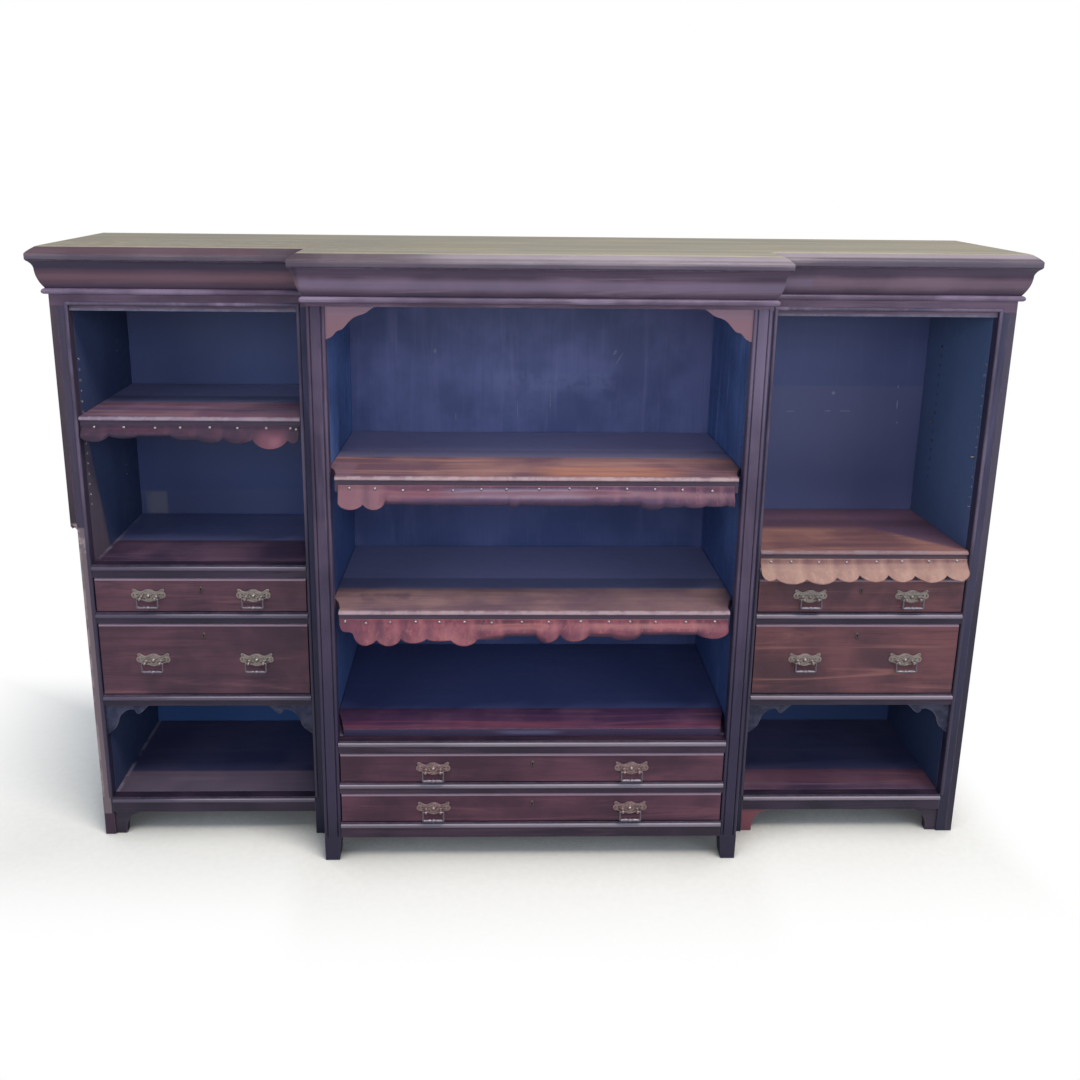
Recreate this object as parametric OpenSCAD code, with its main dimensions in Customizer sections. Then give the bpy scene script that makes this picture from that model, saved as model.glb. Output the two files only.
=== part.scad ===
// Breakfront bookcase: a centre unit and two set-back wings under one moulded top.
// It has six drawers, four pegged shelves with leather edging and one loose shelf.
// The front faces -Y, +Z is up, and the origin is the middle of the footprint on the floor.

/* [Overall] */
// Height from the floor to the top surface
total_h = 1505; // [1480:1:1540]
// Width across the faces of the two centre stiles
centre_w = 1018; // [980:2:1060]
// Width of one wing, from the centre unit to its outer end
wing_w = 592; // [570:2:620]
// Depth of the centre unit, from its stile faces to the back
centre_d = 435; // [415:1:460]
// Distance that each wing stands back from the centre unit
wing_set = 95; // [80:1:105]

/* [Heights] */
// Height of the feet, up to the underside of the lowest rails
foot_h = 65; // [55:1:75]
// Height of the lowest rail of each unit
bottom_rail_h = 42; // [38:1:46]
// Height of the rails between and under the drawers
mid_rail_h = 30; // [27:1:34]
// Height of the beaded rail above the upper drawers
top_rail_h = 34; // [30:1:38]
// Height of the open space below the wing drawers
wing_low_h = 259; // [240:1:275]
// Height of the opening for a lower wing drawer
wing_deep_h = 192; // [180:1:205]
// Height of the opening for an upper wing drawer
wing_shallow_h = 90; // [84:1:100]
// Height of the opening for each centre drawer
centre_drawer_h = 80; // [76:1:90]

/* [Timber] */
// Thickness of the fixed boards and the shelves
board_t = 20; // [18:1:22]
// Thickness of the dust boards that carry the drawers
dust_t = 15; // [12:1:18]
// Thickness of the two outer end panels
end_t = 25; // [22:1:28]
// Thickness of the boards at the sides of the centre unit
centre_side_t = 27; // [24:1:30]
// Thickness of the inner side board of each wing
wing_side_t = 22; // [19:1:25]
// Thickness of the stiles, rails and friezes
frame_t = 22; // [20:1:25]
// Width of the centre stiles
centre_stile_w = 41; // [38:1:46]
// Width of the inner stile of each wing
inner_stile_w = 40; // [36:1:44]
// Thickness of the strip at the outer edge of each wing
strip_t = 15; // [12:1:18]
// Thickness of the upright back boards
back_t = 12; // [10:1:14]
// Distance of the two joints in the centre's back from its middle
back_joint_x = 364; // [340:2:390]
// Width of the small chamfers along those joints
back_joint_w = 0.6; // [0.4:0.1:1]
// Height at which the left outer strip is broken off
break_z = 831; // [780:1:880]

/* [Cornice] */
// Thickness of the top board
top_t = 31; // [28:1:34]
// Overhang of the top board's nose beyond the faces
nose_out = 31; // [28:1:34]
// Width of the slope along the top board's upper edge
slope_w = 23; // [18:1:24]
// Drop of that slope
slope_h = 15; // [12:1:17]
// Height of the curved cornice moulding
cornice_h = 65; // [60:1:70]
// Height of the narrow strip that shows under each wing's frieze
head_strip_h = 13; // [10:1:16]
// Distance that this strip stands behind the frieze
head_strip_set = 6; // [4:1:10]
// Radius of the half-round moulding below the cornice
cornice_bead_r = 6.5; // [5.5:0.5:7]
// Height of plain frieze below that moulding on the wings, the bead round the opening included
wing_frieze_h = 26; // [22:1:32]
// Height of plain frieze below that moulding on the centre
centre_frieze_h = 9; // [7:1:14]

/* [Beads and brackets] */
// Radius of the bead along each rail
rail_bead_r = 6.5; // [5.5:0.5:7]
// Distance from a rail's top to the middle of its bead
bead_drop = 9.5; // [8:0.5:10]
// Distance that a rail bead stands out
bead_out = 4; // [3:0.5:5]
// Width of the bead round each wing opening
edge_bead_w = 9; // [7:1:11]
// Length of the upper centre brackets along the rail
top_bracket_l = 112; // [100:1:124]
// Height of the upper centre brackets
top_bracket_h = 74; // [66:1:82]
// Length of the lower wing brackets along the rail
low_bracket_l = 112; // [100:1:120]
// Height of the lower wing brackets
low_bracket_h = 82; // [74:1:90]
// Thickness of all the brackets
bracket_t = 12; // [10:1:14]
// Length of the bracket feet along the rail
foot_l = 68; // [60:1:80]
// Width of the bracket feet on the floor
foot_toe = 27; // [22:1:32]

/* [Shelves] */
// Distance between neighbouring peg holes
peg_pitch = 25.4; // [24:0.1:27]
// Height of the peg holes' zero line above the floor
peg_z0 = 20; // [10:1:25]
// Radius of a shelf peg
peg_r = 2.5; // [2.2:0.1:3]
// Distance that a peg stands out of its hole
peg_out = 10; // [8:1:10]
// Depth of a peg hole
hole_depth = 11; // [9:1:12]
// Distance from a wing's face to its front peg holes
peg_front = 32; // [30:1:40]
// Distance from the centre's face to its front peg holes
centre_peg_front = 82; // [76:1:100]
// Distance from the back boards to the rear peg holes
peg_rear = 78; // [60:1:90]
// Distance that the centre's front peg holes sit above those of the wings
centre_peg_up = 13.5; // [8:0.5:16]
// Distance that the centre's rear peg holes sit below its front ones
rear_hole_drop = 12.7; // [0:0.1:16]
// First peg hole above the floor in the wings
wing_hole_first = 34; // [32:1:36]
// Last peg hole above the floor in the wings
wing_hole_last = 48; // [45:1:50]
// First peg hole above the floor in the centre
centre_hole_first = 19; // [18:1:22]
// Last peg hole above the floor in the centre
centre_hole_last = 46; // [42:1:48]
// Peg hole that carries the left wing's shelf
left_hole = 42; // [38:1:44]
// Peg hole under the upper centre shelf
centre_high_hole = 37; // [34:1:39]
// Peg hole under the lower centre shelf
centre_low_hole = 24; // [22:1:26]
// Front peg hole of the right wing that holds a peg but no shelf
spare_hole = 39; // [36:1:41]
// Rear peg hole of the right wing that holds a peg but no shelf
spare_rear_hole = 40; // [37:1:43]
// Play of a shelf between the sides
shelf_play = 1.5; // [1:0.5:3]
// Depth of the cut-back corners that clear the stiles in the wings
notch_d = 70; // [60:1:90]
// Depth of the cut-back corners that clear the stiles in the centre
centre_notch_d = 78; // [60:1:80]
// Height of the moulded lip along a shelf's front
lip_h = 37; // [32:1:42]
// Thickness of that lip
lip_t = 16; // [12:1:20]
// Height of the rounded nosing at the lip's top
nosing_h = 12; // [9:1:14]
// Distance that the nosing stands out
nosing_out = 4; // [2:0.5:5]
// Distance that the loose shelf lies back from the unit's face
loose_set = 19; // [15:1:30]
// Distance of a centre shelf's front corners from the stiles
corner_clear = 10; // [8:1:14]

/* [Leather edging] */
// Thickness of the leather
leather_t = 2; // [1.6:0.2:2.4]
// Distance from a shelf's top to the upper edge of the leather
leather_top = 21; // [16:1:24]
// Distance of the leather's ends from the stiles
edging_play = 2; // [1:0.5:4]
// Height of the leather at its full scallops
leather_h = 57; // [50:1:60]
// Depth of the scallops
scallop_d = 13; // [8:1:15]
// Distance that the loose lower edge stands away at its waves
leather_wave = 9; // [4:1:11]
// Radius of a tack's head
tack_r = 3.2; // [2.6:0.2:3.6]

/* [Drawers] */
// Gap at each side of a drawer
drawer_side_gap = 3; // [2:0.5:4]
// Gap above a drawer's front
drawer_top_gap = 2.5; // [2:0.5:3.5]
// Running gap below a drawer
drawer_run_gap = 0.5; // [0.3:0.1:0.8]
// Gap behind a drawer
drawer_back_gap = 12; // [8:1:20]
// Thickness of a drawer's front
front_t = 20; // [18:1:22]
// Thickness of a drawer's sides and back
drawer_wall_t = 12; // [10:1:13]
// Thickness of a drawer's bottom
drawer_floor_t = 6; // [5:1:8]
// Height of the drawer bottom above the lower edge of the sides
drawer_floor_up = 8; // [6:1:10]
// Height that a drawer's sides stay below its front
side_drop = 6; // [4:1:8]
// Width of the chamfer round a drawer's front
front_chamfer = 2; // [1:0.5:3]

/* [Brass] */
// Distance of the wing handles from the middle of their drawer
wing_handle_x = 126; // [110:1:140]
// Distance of the centre handles from the middle of their drawer
centre_handle_x = 241; // [220:1:260]
// Overall width of a handle's back plate
plate_w = 82; // [78:1:86]
// Overall height of a handle's back plate
plate_h = 34; // [32:1:36]
// Thickness of a handle's back plate
plate_t = 2; // [1.6:0.2:2.6]
// Distance of each post from the middle of the handle
post_x = 18; // [16:1:20]
// Radius of a post
post_r = 3.6; // [3.4:0.1:3.8]
// Distance of the bail's pivot from the drawer's face
pivot_out = 12; // [11:1:14]
// Distance of the bail's pivot below the middle of the plate
pivot_drop = 4; // [2:1:5]
// Distance from the bail's pivot to its grip
bail_drop = 23; // [21:1:24]
// Radius of the bail's arms and pins
bail_r = 2; // [1.8:0.1:2.2]
// Running clearance of the bail's pins in the posts
pin_play = 0.1; // [0.05:0.01:0.1]
// Height of a keyhole plate
key_h = 18; // [16:1:20]
// Width of a keyhole plate
key_w = 11; // [10:1:13]
// Depth of the keyhole below the front's upper edge on the deep drawers
key_drop = 34; // [28:1:40]

/* [Hidden] */
$fn = 32;
// Gap between bodies that rest on each other
seat = 0.3;
// Gap between glued or nailed pieces of one body
joint = 0.1;
face_y = -(centre_d - nose_out) / 2;
wing_y = face_y + wing_set;
back_y = face_y + centre_d;
back_in = back_y - back_t;
cen_x = centre_w / 2;
end_x = cen_x + wing_w;
panel_x = end_x - strip_t;
in_x = panel_x - end_t;
wing_side_x = cen_x + wing_side_t;
wing_open_x = cen_x + inner_stile_w;
centre_side_x = cen_x - centre_side_t;
centre_open_x = cen_x - centre_stile_w;
wing_open_w = in_x - wing_open_x;
wing_cx = (in_x + wing_open_x) / 2;
case_top = total_h - top_t;
bead_top = case_top - cornice_h;
bead_mid = bead_top - cornice_bead_r;
bead_low = bead_top - 2 * cornice_bead_r;
wing_head = bead_low - wing_frieze_h;
centre_head = bead_low - centre_frieze_h;
floor_z = foot_h + bottom_rail_h;
wing_rail3 = floor_z + wing_low_h;
wing_deep_z = wing_rail3 + mid_rail_h;
wing_rail2 = wing_deep_z + wing_deep_h;
wing_shallow_z = wing_rail2 + mid_rail_h;
wing_rail1 = wing_shallow_z + wing_shallow_h;
wing_deck = wing_rail1 + top_rail_h;
centre_low_z = floor_z;
centre_rail2 = centre_low_z + centre_drawer_h;
centre_high_z = centre_rail2 + mid_rail_h;
centre_rail1 = centre_high_z + centre_drawer_h;
centre_deck = centre_rail1 + top_rail_h;
wing_drawer_d = back_in - drawer_back_gap - wing_y;
centre_drawer_d = back_in - drawer_back_gap - face_y;
rear_peg_y = back_in - peg_rear;

// Each drawer: middle x, face y, opening width, opening floor, opening height, depth,
// handle distance and height of the keyhole above the opening's floor
function wing_drawer(side, z, h, key) =
    [side * wing_cx, wing_y, wing_open_w, z, h, wing_drawer_d, wing_handle_x, key];
function centre_drawer(z) =
    [0, face_y, 2 * centre_open_x, z, centre_drawer_h, centre_drawer_d, centre_handle_x,
     centre_drawer_h / 2 + 9];
left_upper = wing_drawer(-1, wing_shallow_z, wing_shallow_h, wing_shallow_h / 2 + 13);
left_lower = wing_drawer(-1, wing_deep_z, wing_deep_h, wing_deep_h - key_drop);
right_upper = wing_drawer(1, wing_shallow_z, wing_shallow_h, wing_shallow_h / 2 + 13);
right_lower = wing_drawer(1, wing_deep_z, wing_deep_h, wing_deep_h - key_drop);
centre_upper = centre_drawer(centre_high_z);
centre_lower = centre_drawer(centre_low_z);

function peg_z(n) = peg_z0 + n * peg_pitch;

// The centre shelves lean back, because their rear holes are lower than the front ones.
// The right wing's shelf lies on the deck: its deep lip and its back edge carry it.
centre_peg_y = face_y + centre_peg_front;
centre_tilt = atan(rear_hole_drop / (rear_peg_y - centre_peg_y));
shelf_back_gap = 6;
wing_shelf_d = back_in - shelf_back_gap - wing_y;
centre_shelf_d = back_in - shelf_back_gap - face_y;
lip_drop = lip_h - board_t;
lip_set = nosing_out;
right_tilt = atan(lip_drop / (wing_shelf_d - lip_set - lip_t));

mahogany = [0.36, 0.22, 0.25];
red_wood = [0.45, 0.24, 0.24];
dark_wood = [0.16, 0.14, 0.22];
pale_wood = [0.52, 0.42, 0.34];
leather = [0.62, 0.34, 0.33];
brass = [0.66, 0.54, 0.36];

// Plain helpers

module slab(x0, x1, y0, y1, z0, z1) {
    translate([x0, y0, z0]) cube([x1 - x0, y1 - y0, z1 - z0]);
}

module both_sides() {
    children();
    mirror([1, 0, 0]) children();
}

// Mitred runs of a profile round the front and the two ends

plan = [
    [-end_x, back_y], [-end_x, wing_y], [-cen_x, wing_y], [-cen_x, face_y],
    [cen_x, face_y], [cen_x, wing_y], [end_x, wing_y], [end_x, back_y]
];
function run_vec(i) = (plan[i + 1] - plan[i]) / norm(plan[i + 1] - plan[i]);
function run_out(i) = [run_vec(i)[1], -run_vec(i)[0]];
function mitre(i) = i == 0 ? run_out(0)
    : i == len(plan) - 1 ? run_out(i - 1)
    : run_out(i - 1) + run_out(i);
mitre_reach = nose_out + 10;

module mitred_run(i, gap) {
    length = norm(plan[i + 1] - plan[i]);
    inset = run_vec(i) * gap / 2;
    turn = atan2(run_out(i)[1], run_out(i)[0]);
    intersection() {
        translate([plan[i][0], plan[i][1], 0]) rotate([0, 0, turn])
            translate([0, length + mitre_reach, 0]) rotate([90, 0, 0])
                linear_extrude(length + 2 * mitre_reach) children();
        linear_extrude(total_h + 1) polygon([
            plan[i] - mitre_reach * mitre(i) + inset,
            plan[i] + mitre_reach * mitre(i) + inset,
            plan[i + 1] + mitre_reach * mitre(i + 1) - inset,
            plan[i + 1] - mitre_reach * mitre(i + 1) - inset
        ]);
    }
}

// Top and cornice

// The board's edge: distance out from the unit's face, and height
top_edge = [
    [nose_out - 2, case_top], [nose_out, case_top + 2],
    [nose_out, total_h - slope_h - 1.5], [nose_out - slope_w * 0.12, total_h - slope_h + 2],
    [nose_out - slope_w * 0.4, total_h - slope_h * 0.5],
    [nose_out - slope_w * 0.75, total_h - slope_h * 0.13], [nose_out - slope_w, total_h]
];
top_edge_n = len(top_edge);

// A board with that edge along its front and both ends
module edged_board(half_w, front_y, rear_y) {
    reach = nose_out + 1;
    intersection() {
        translate([-half_w - reach, 0, 0]) rotate([90, 0, 90]) linear_extrude(2 * (half_w + reach))
            polygon(concat(
                [for (p = top_edge) [front_y - p[0], p[1]]],
                [[rear_y, total_h], [rear_y, case_top]]
            ));
        translate([0, rear_y + 1, 0]) rotate([90, 0, 0]) linear_extrude(rear_y - front_y + reach + 1)
            polygon(concat(
                [for (p = top_edge) [half_w + p[0], p[1]]],
                [for (k = [top_edge_n - 1 : -1 : 0]) [-half_w - top_edge[k][0], top_edge[k][1]]]
            ));
    }
}

module top_board() {
    color(mahogany) union() {
        edged_board(end_x, wing_y, back_y);
        edged_board(cen_x, face_y, (wing_y + back_y) / 2);
    }
}

function bend(a, b, c, t) = (1 - t) * (1 - t) * a + 2 * t * (1 - t) * b + t * t * c;
ovolo_out = nose_out - 12.4;
cove_h = 17;
cornice_profile = concat(
    [[0, bead_top], [0, case_top], [nose_out - 1, case_top]],
    [for (k = [1 : 4]) bend([nose_out - 1, case_top], [ovolo_out + 2, case_top - 7],
        [ovolo_out, case_top - cove_h], k / 4)],
    [for (k = [1 : 8]) bend([ovolo_out, case_top - cove_h],
        [ovolo_out - 1, bead_top + (cornice_h - cove_h) * 0.44], [4, bead_top], k / 8)]
);

module cornice_moulding() {
    color(mahogany) for (i = [0 : len(plan) - 2]) mitred_run(i, joint)
        polygon(cornice_profile);
}

module bead_moulding() {
    color(mahogany) for (i = [0 : len(plan) - 2]) mitred_run(i, joint) {
        intersection() {
            translate([cornice_bead_r - 2, bead_mid]) circle(cornice_bead_r);
            translate([joint, bead_low]) square(2 * cornice_bead_r);
        }
        translate([joint, bead_low]) square([cornice_bead_r - 2 - joint, 2 * cornice_bead_r]);
    }
}

module friezes() {
    color(mahogany) {
        slab(-cen_x, cen_x, face_y, face_y + frame_t, centre_head, case_top);
        both_sides() {
            slab(cen_x, end_x, wing_y, wing_y + frame_t, wing_head, case_top);
            slab(panel_x, end_x, wing_y + frame_t + joint, back_y, wing_head, case_top);
            slab(wing_open_x, in_x, wing_y + head_strip_set, wing_y + frame_t,
                wing_head - head_strip_h, wing_head - joint);
        }
    }
}

// Uprights

module peg_holes(y, first, last) {
    for (n = [first : last]) translate([0, y, peg_z(n)]) rotate([0, 90, 0])
        cylinder(r = peg_r + 0.1, h = 2 * hole_depth, center = true);
}

module wing_peg_holes() {
    for (y = [wing_y + peg_front, rear_peg_y])
        peg_holes(y, wing_hole_first, wing_hole_last);
}

module end_panel() {
    color(mahogany) difference() {
        slab(in_x, panel_x, wing_y + frame_t, back_y, 0, case_top);
        translate([in_x, 0, 0]) wing_peg_holes();
    }
}

module left_end_panel() { mirror([1, 0, 0]) end_panel(); }

module right_end_panel() { end_panel(); }

module wing_inner_sides() {
    color(dark_wood) both_sides() difference() {
        slab(cen_x, wing_side_x, wing_y + frame_t, back_y, 0, case_top);
        translate([wing_side_x, 0, 0]) wing_peg_holes();
    }
}

module centre_sides() {
    color(dark_wood) both_sides() difference() {
        slab(centre_side_x, cen_x, face_y + frame_t, back_y, foot_h, case_top);
        translate([centre_side_x, 0, centre_peg_up])
            peg_holes(centre_peg_y, centre_hole_first, centre_hole_last);
        translate([centre_side_x, 0, centre_peg_up - rear_hole_drop])
            peg_holes(rear_peg_y, centre_hole_first, centre_hole_last);
    }
}

// A stile with a bead along both front edges, running down into a foot that tapers inwards
stile_bead_r = 4;
foot_taper = 6;
foot_d = 40;

module centre_stile() {
    bead_x = [centre_open_x + stile_bead_r, cen_x - stile_bead_r];
    translate([0, 0, foot_h]) linear_extrude(centre_head - foot_h) union() {
        translate([centre_open_x, face_y + stile_bead_r])
            square([centre_stile_w, frame_t - stile_bead_r]);
        for (x = bead_x) translate([x, face_y + stile_bead_r]) circle(stile_bead_r);
        translate([centre_open_x + 2 * stile_bead_r + 2, face_y])
            square([centre_stile_w - 4 * stile_bead_r - 4, frame_t]);
    }
    translate([0, face_y + foot_d, 0]) rotate([90, 0, 0]) linear_extrude(foot_d - 1) polygon([
        [centre_open_x + foot_taper, 0], [cen_x - 1, 0], [cen_x, foot_h], [centre_open_x, foot_h]
    ]);
}

module centre_stiles() {
    color(mahogany) both_sides() centre_stile();
}

module wing_stiles() {
    color(mahogany) both_sides() {
        slab(in_x, panel_x, wing_y, wing_y + frame_t, 0, wing_head);
        slab(cen_x, wing_open_x, wing_y, wing_y + frame_t, 0, wing_head);
    }
}

module outer_edge_strips() {
    color(mahogany) {
        slab(panel_x, end_x, wing_y, wing_y + frame_t, 0, wing_head);
        translate([0, wing_y + frame_t, 0]) rotate([90, 0, 0]) linear_extrude(frame_t) polygon([
            [-end_x, wing_head], [-end_x, break_z + 9], [-end_x + 4, break_z + 3],
            [-end_x + 9, break_z + 6], [-panel_x, break_z], [-panel_x, wing_head]
        ]);
    }
}

// Half-round beads laid on the stile and frieze faces round each wing opening, mitred above

module half_bead(w) {
    intersection() {
        translate([0, w * 0.3]) circle(w * 0.585);
        translate([-w / 2, -w]) square([w, w]);
    }
}

module bead_clip(points) {
    translate([0, wing_y + edge_bead_w / 2, 0]) rotate([90, 0, 0])
        linear_extrude(2 * edge_bead_w) polygon(points);
}

// The side is +1 for the bead on the outer stile and -1 for the one on the inner stile
module upright_bead(side) {
    w = edge_bead_w;
    x = side > 0 ? in_x : wing_open_x;
    intersection() {
        translate([x + side * w / 2, wing_y, floor_z]) linear_extrude(wing_head + w - floor_z)
            half_bead(w);
        bead_clip([
            [x, floor_z], [x + side * w, floor_z],
            [x + side * w, wing_head + w - joint], [x, wing_head - joint]
        ]);
    }
}

module head_bead() {
    w = edge_bead_w;
    intersection() {
        translate([wing_open_x - w, wing_y, wing_head + w / 2]) rotate([0, 90, 0])
            linear_extrude(wing_open_w + 2 * w) half_bead(w);
        bead_clip([
            [wing_open_x, wing_head], [in_x, wing_head],
            [in_x + w, wing_head + w], [wing_open_x - w, wing_head + w]
        ]);
    }
}

module opening_beads() {
    color(mahogany) both_sides() {
        upright_bead(1);
        upright_bead(-1);
        head_bead();
    }
}

module back_board(x0, x1) {
    v = back_joint_w;
    low = floor_z - board_t;
    translate([0, 0, low]) linear_extrude(case_top - low) polygon([
        [x0, back_in + v], [x0 + v, back_in], [x1 - v, back_in],
        [x1, back_in + v], [x1, back_y], [x0, back_y]
    ]);
}

module back_boards() {
    color(dark_wood) {
        back_board(-centre_side_x, -back_joint_x);
        back_board(-back_joint_x, back_joint_x);
        back_board(back_joint_x, centre_side_x);
        both_sides() back_board(wing_side_x, in_x);
    }
}

// Level boards and rails

module fixed_boards() {
    color(red_wood) {
        both_sides() for (z = [floor_z, wing_deck])
            slab(wing_side_x, in_x, wing_y + frame_t, back_in, z - board_t, z);
        slab(-centre_side_x, centre_side_x, face_y + frame_t, back_in,
            centre_deck - board_t, centre_deck);
    }
}

module dust_boards() {
    color(pale_wood) {
        both_sides() for (z = [wing_deep_z, wing_shallow_z])
            slab(wing_side_x, in_x, wing_y + frame_t, back_in, z - dust_t, z);
        for (z = [centre_low_z, centre_high_z])
            slab(-centre_side_x, centre_side_x, face_y + frame_t, back_in, z - dust_t, z);
    }
}

module beaded_rail(x0, x1, y, z0, z1) {
    slab(x0, x1, y, y + frame_t, z0, z1);
    translate([x0, y + rail_bead_r - bead_out, z1 - bead_drop]) rotate([0, 90, 0])
        cylinder(r = rail_bead_r, h = x1 - x0);
}

module wing_rails() {
    color(mahogany) both_sides() {
        beaded_rail(wing_open_x, in_x, wing_y, foot_h, floor_z);
        beaded_rail(wing_open_x, in_x, wing_y, wing_rail3, wing_deep_z);
        beaded_rail(wing_open_x, in_x, wing_y, wing_rail2, wing_shallow_z);
        beaded_rail(wing_open_x, in_x, wing_y, wing_rail1, wing_deck);
    }
}

module centre_rails() {
    color(mahogany) {
        beaded_rail(-centre_open_x, centre_open_x, face_y, foot_h, floor_z);
        beaded_rail(-centre_open_x, centre_open_x, face_y, centre_rail2, centre_high_z);
        beaded_rail(-centre_open_x, centre_open_x, face_y, centre_rail1, centre_deck);
    }
}

// Strips that fill the space between the side boards and the stile edges beside a drawer
module drawer_guides() {
    guide_h = 24;
    color(pale_wood) both_sides() {
        for (z = [wing_deep_z, wing_shallow_z])
            slab(wing_side_x, wing_open_x, wing_y + frame_t, back_in, z, z + guide_h);
        for (z = [centre_low_z, centre_high_z])
            slab(centre_open_x, centre_side_x, face_y + frame_t, back_in, z, z + guide_h);
    }
}

// Fretted brackets. The corner is at 0, 0, the rail runs along +x and the stile down -y.
// Their curves are given as shares of the bracket's length and height.
function arc(cx, cy, rx, ry, a0, a1, n) =
    [for (k = [0 : n]) let (a = a0 + (a1 - a0) * k / n) [cx + rx * cos(a), cy + ry * sin(a)]];

high_fret = [
    [0, 0], [0, 1], [0.05, 0.97], [0.1, 0.93], [0.15, 0.87], [0.19, 0.79], [0.23, 0.735],
    [0.28, 0.715], [0.33, 0.69], [0.38, 0.61], [0.43, 0.52], [0.49, 0.42], [0.56, 0.335],
    [0.64, 0.28], [0.73, 0.24], [0.79, 0.2], [0.84, 0.14], [0.89, 0.08], [0.94, 0.03], [1, 0]
];
low_fret = [
    [0, 0], [0, 1], [0.06, 0.94], [0.13, 0.87], [0.2, 0.78], [0.24, 0.69], [0.265, 0.58],
    [0.29, 0.45], [0.34, 0.34], [0.41, 0.25], [0.49, 0.185], [0.57, 0.16], [0.64, 0.18],
    [0.665, 0.27], [0.71, 0.32], [0.76, 0.3], [0.83, 0.22], [0.89, 0.13], [0.95, 0.05], [1, 0]
];

bracket_set = 5;

module bracket(x, y, z, l, h, side, fret) {
    translate([x, y + bracket_set + bracket_t, z]) mirror([side < 0 ? 1 : 0, 0, 0]) rotate([90, 0, 0])
        linear_extrude(bracket_t) polygon([for (p = fret) [p[0] * l, -p[1] * h]]);
}

module corner_brackets() {
    color(red_wood) both_sides() {
        bracket(centre_open_x, face_y, centre_head, top_bracket_l, top_bracket_h, -1, high_fret);
        bracket(wing_open_x, wing_y, wing_rail3, low_bracket_l, low_bracket_h, 1, low_fret);
        bracket(in_x, wing_y, wing_rail3, low_bracket_l, low_bracket_h, -1, low_fret);
    }
}

foot_set = 4;

module foot_bracket(x, side) {
    translate([x, wing_y + frame_t, 0]) mirror([side < 0 ? 1 : 0, 0, 0])
        rotate([90, 0, 0]) linear_extrude(frame_t - foot_set) polygon(concat(
            [[0, 0], [0, foot_h], [foot_l, foot_h]],
            arc(foot_l, 0.12 * foot_h, foot_l - foot_toe, 0.8 * foot_h, 90, 172, 8),
            [[foot_toe, 0]]
        ));
}

module foot_brackets() {
    color(red_wood) {
        foot_bracket(wing_open_x, 1);
        foot_bracket(in_x, -1);
        foot_bracket(-in_x, 1);
    }
}

// Shelves and what carries them

module peg(x, y, z, side) {
    translate([x - side * hole_depth, y, z]) rotate([0, side * 90, 0])
        cylinder(r = peg_r, h = hole_depth + peg_out);
}

module shelf_pegs() {
    color(brass) {
        for (y = [wing_y + peg_front, rear_peg_y]) {
            peg(-in_x, y, peg_z(left_hole), 1);
            peg(-wing_side_x, y, peg_z(left_hole), -1);
        }
        peg(in_x, wing_y + peg_front, peg_z(spare_hole), -1);
        peg(in_x, rear_peg_y, peg_z(spare_rear_hole), -1);
        for (s = [-1, 1]) for (n = [centre_high_hole, centre_low_hole]) {
            peg(s * centre_side_x, centre_peg_y, peg_z(n) + centre_peg_up, -s);
            peg(s * centre_side_x, rear_peg_y, peg_z(n) + centre_peg_up - rear_hole_drop, -s);
        }
    }
}

// Places: each puts a shelf drawn with its underside at z = 0 and its front at y = 0.
// The lip stands back by its nosing, which ends up level with the unit's face.

module left_place() {
    translate([0, wing_y + lip_set, peg_z(left_hole) + peg_r + seat]) children();
}

module right_place() {
    translate([0, wing_y + lip_set + lip_t, wing_deck + seat])
        rotate([-right_tilt, 0, 0]) translate([0, -lip_t, lip_drop]) children();
}

module centre_place(n) {
    back = centre_peg_front - lip_set;
    translate([0, centre_peg_y, peg_z(n) + centre_peg_up])
        rotate([-centre_tilt, 0, 0]) translate([0, -back, peg_r + seat]) children();
}

// The moulded lip: a round nosing over a flat face, flush with the shelf's top
module lip(x0, x1) {
    r = nosing_h / 2;
    translate([x0, 0, board_t]) rotate([90, 0, 90]) linear_extrude(x1 - x0) union() {
        translate([0, -lip_h]) square([lip_t, lip_h]);
        translate([r - nosing_out, -r]) circle(r);
        translate([0, -nosing_h]) square([lip_t, nosing_h]);
    }
}

notch_slope = 20;

module wing_shelf() {
    x0 = wing_side_x + shelf_play;
    x1 = in_x - shelf_play;
    xs = wing_open_x + shelf_play;
    linear_extrude(board_t) polygon([
        [xs, lip_t], [x1, lip_t], [x1, wing_shelf_d - lip_set],
        [x0, wing_shelf_d - lip_set], [x0, notch_d], [xs, notch_d - notch_slope]
    ]);
    lip(xs, x1);
}

// Outline of a centre shelf, with both front corners cut back to pass the stiles
module centre_shelf_board(front, depth) {
    x1 = centre_side_x - shelf_play;
    xs = centre_open_x - corner_clear;
    right = [
        [xs, front], [xs + 0.8 * corner_clear, front + 30],
        [x1, centre_notch_d - lip_set], [x1, depth]
    ];
    left = [for (k = [len(right) - 1 : -1 : 0]) [-right[k][0], right[k][1]]];
    linear_extrude(board_t) polygon(concat(right, left));
}

module centre_shelf() {
    centre_shelf_board(lip_t, centre_shelf_d - lip_set);
    lip(corner_clear - centre_open_x, centre_open_x - corner_clear);
}

module left_shelf() {
    color(red_wood) left_place() mirror([1, 0, 0]) wing_shelf();
}

module right_shelf() {
    color(red_wood) right_place() wing_shelf();
}

module upper_shelf() {
    color(pale_wood) centre_place(centre_high_hole) centre_shelf();
}

module lower_shelf() {
    color(pale_wood) centre_place(centre_low_hole) centre_shelf();
}

module loose_shelf() {
    color(red_wood) translate([0, face_y + loose_set, centre_deck + seat])
        centre_shelf_board(0, centre_shelf_d - loose_set);
}

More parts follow.
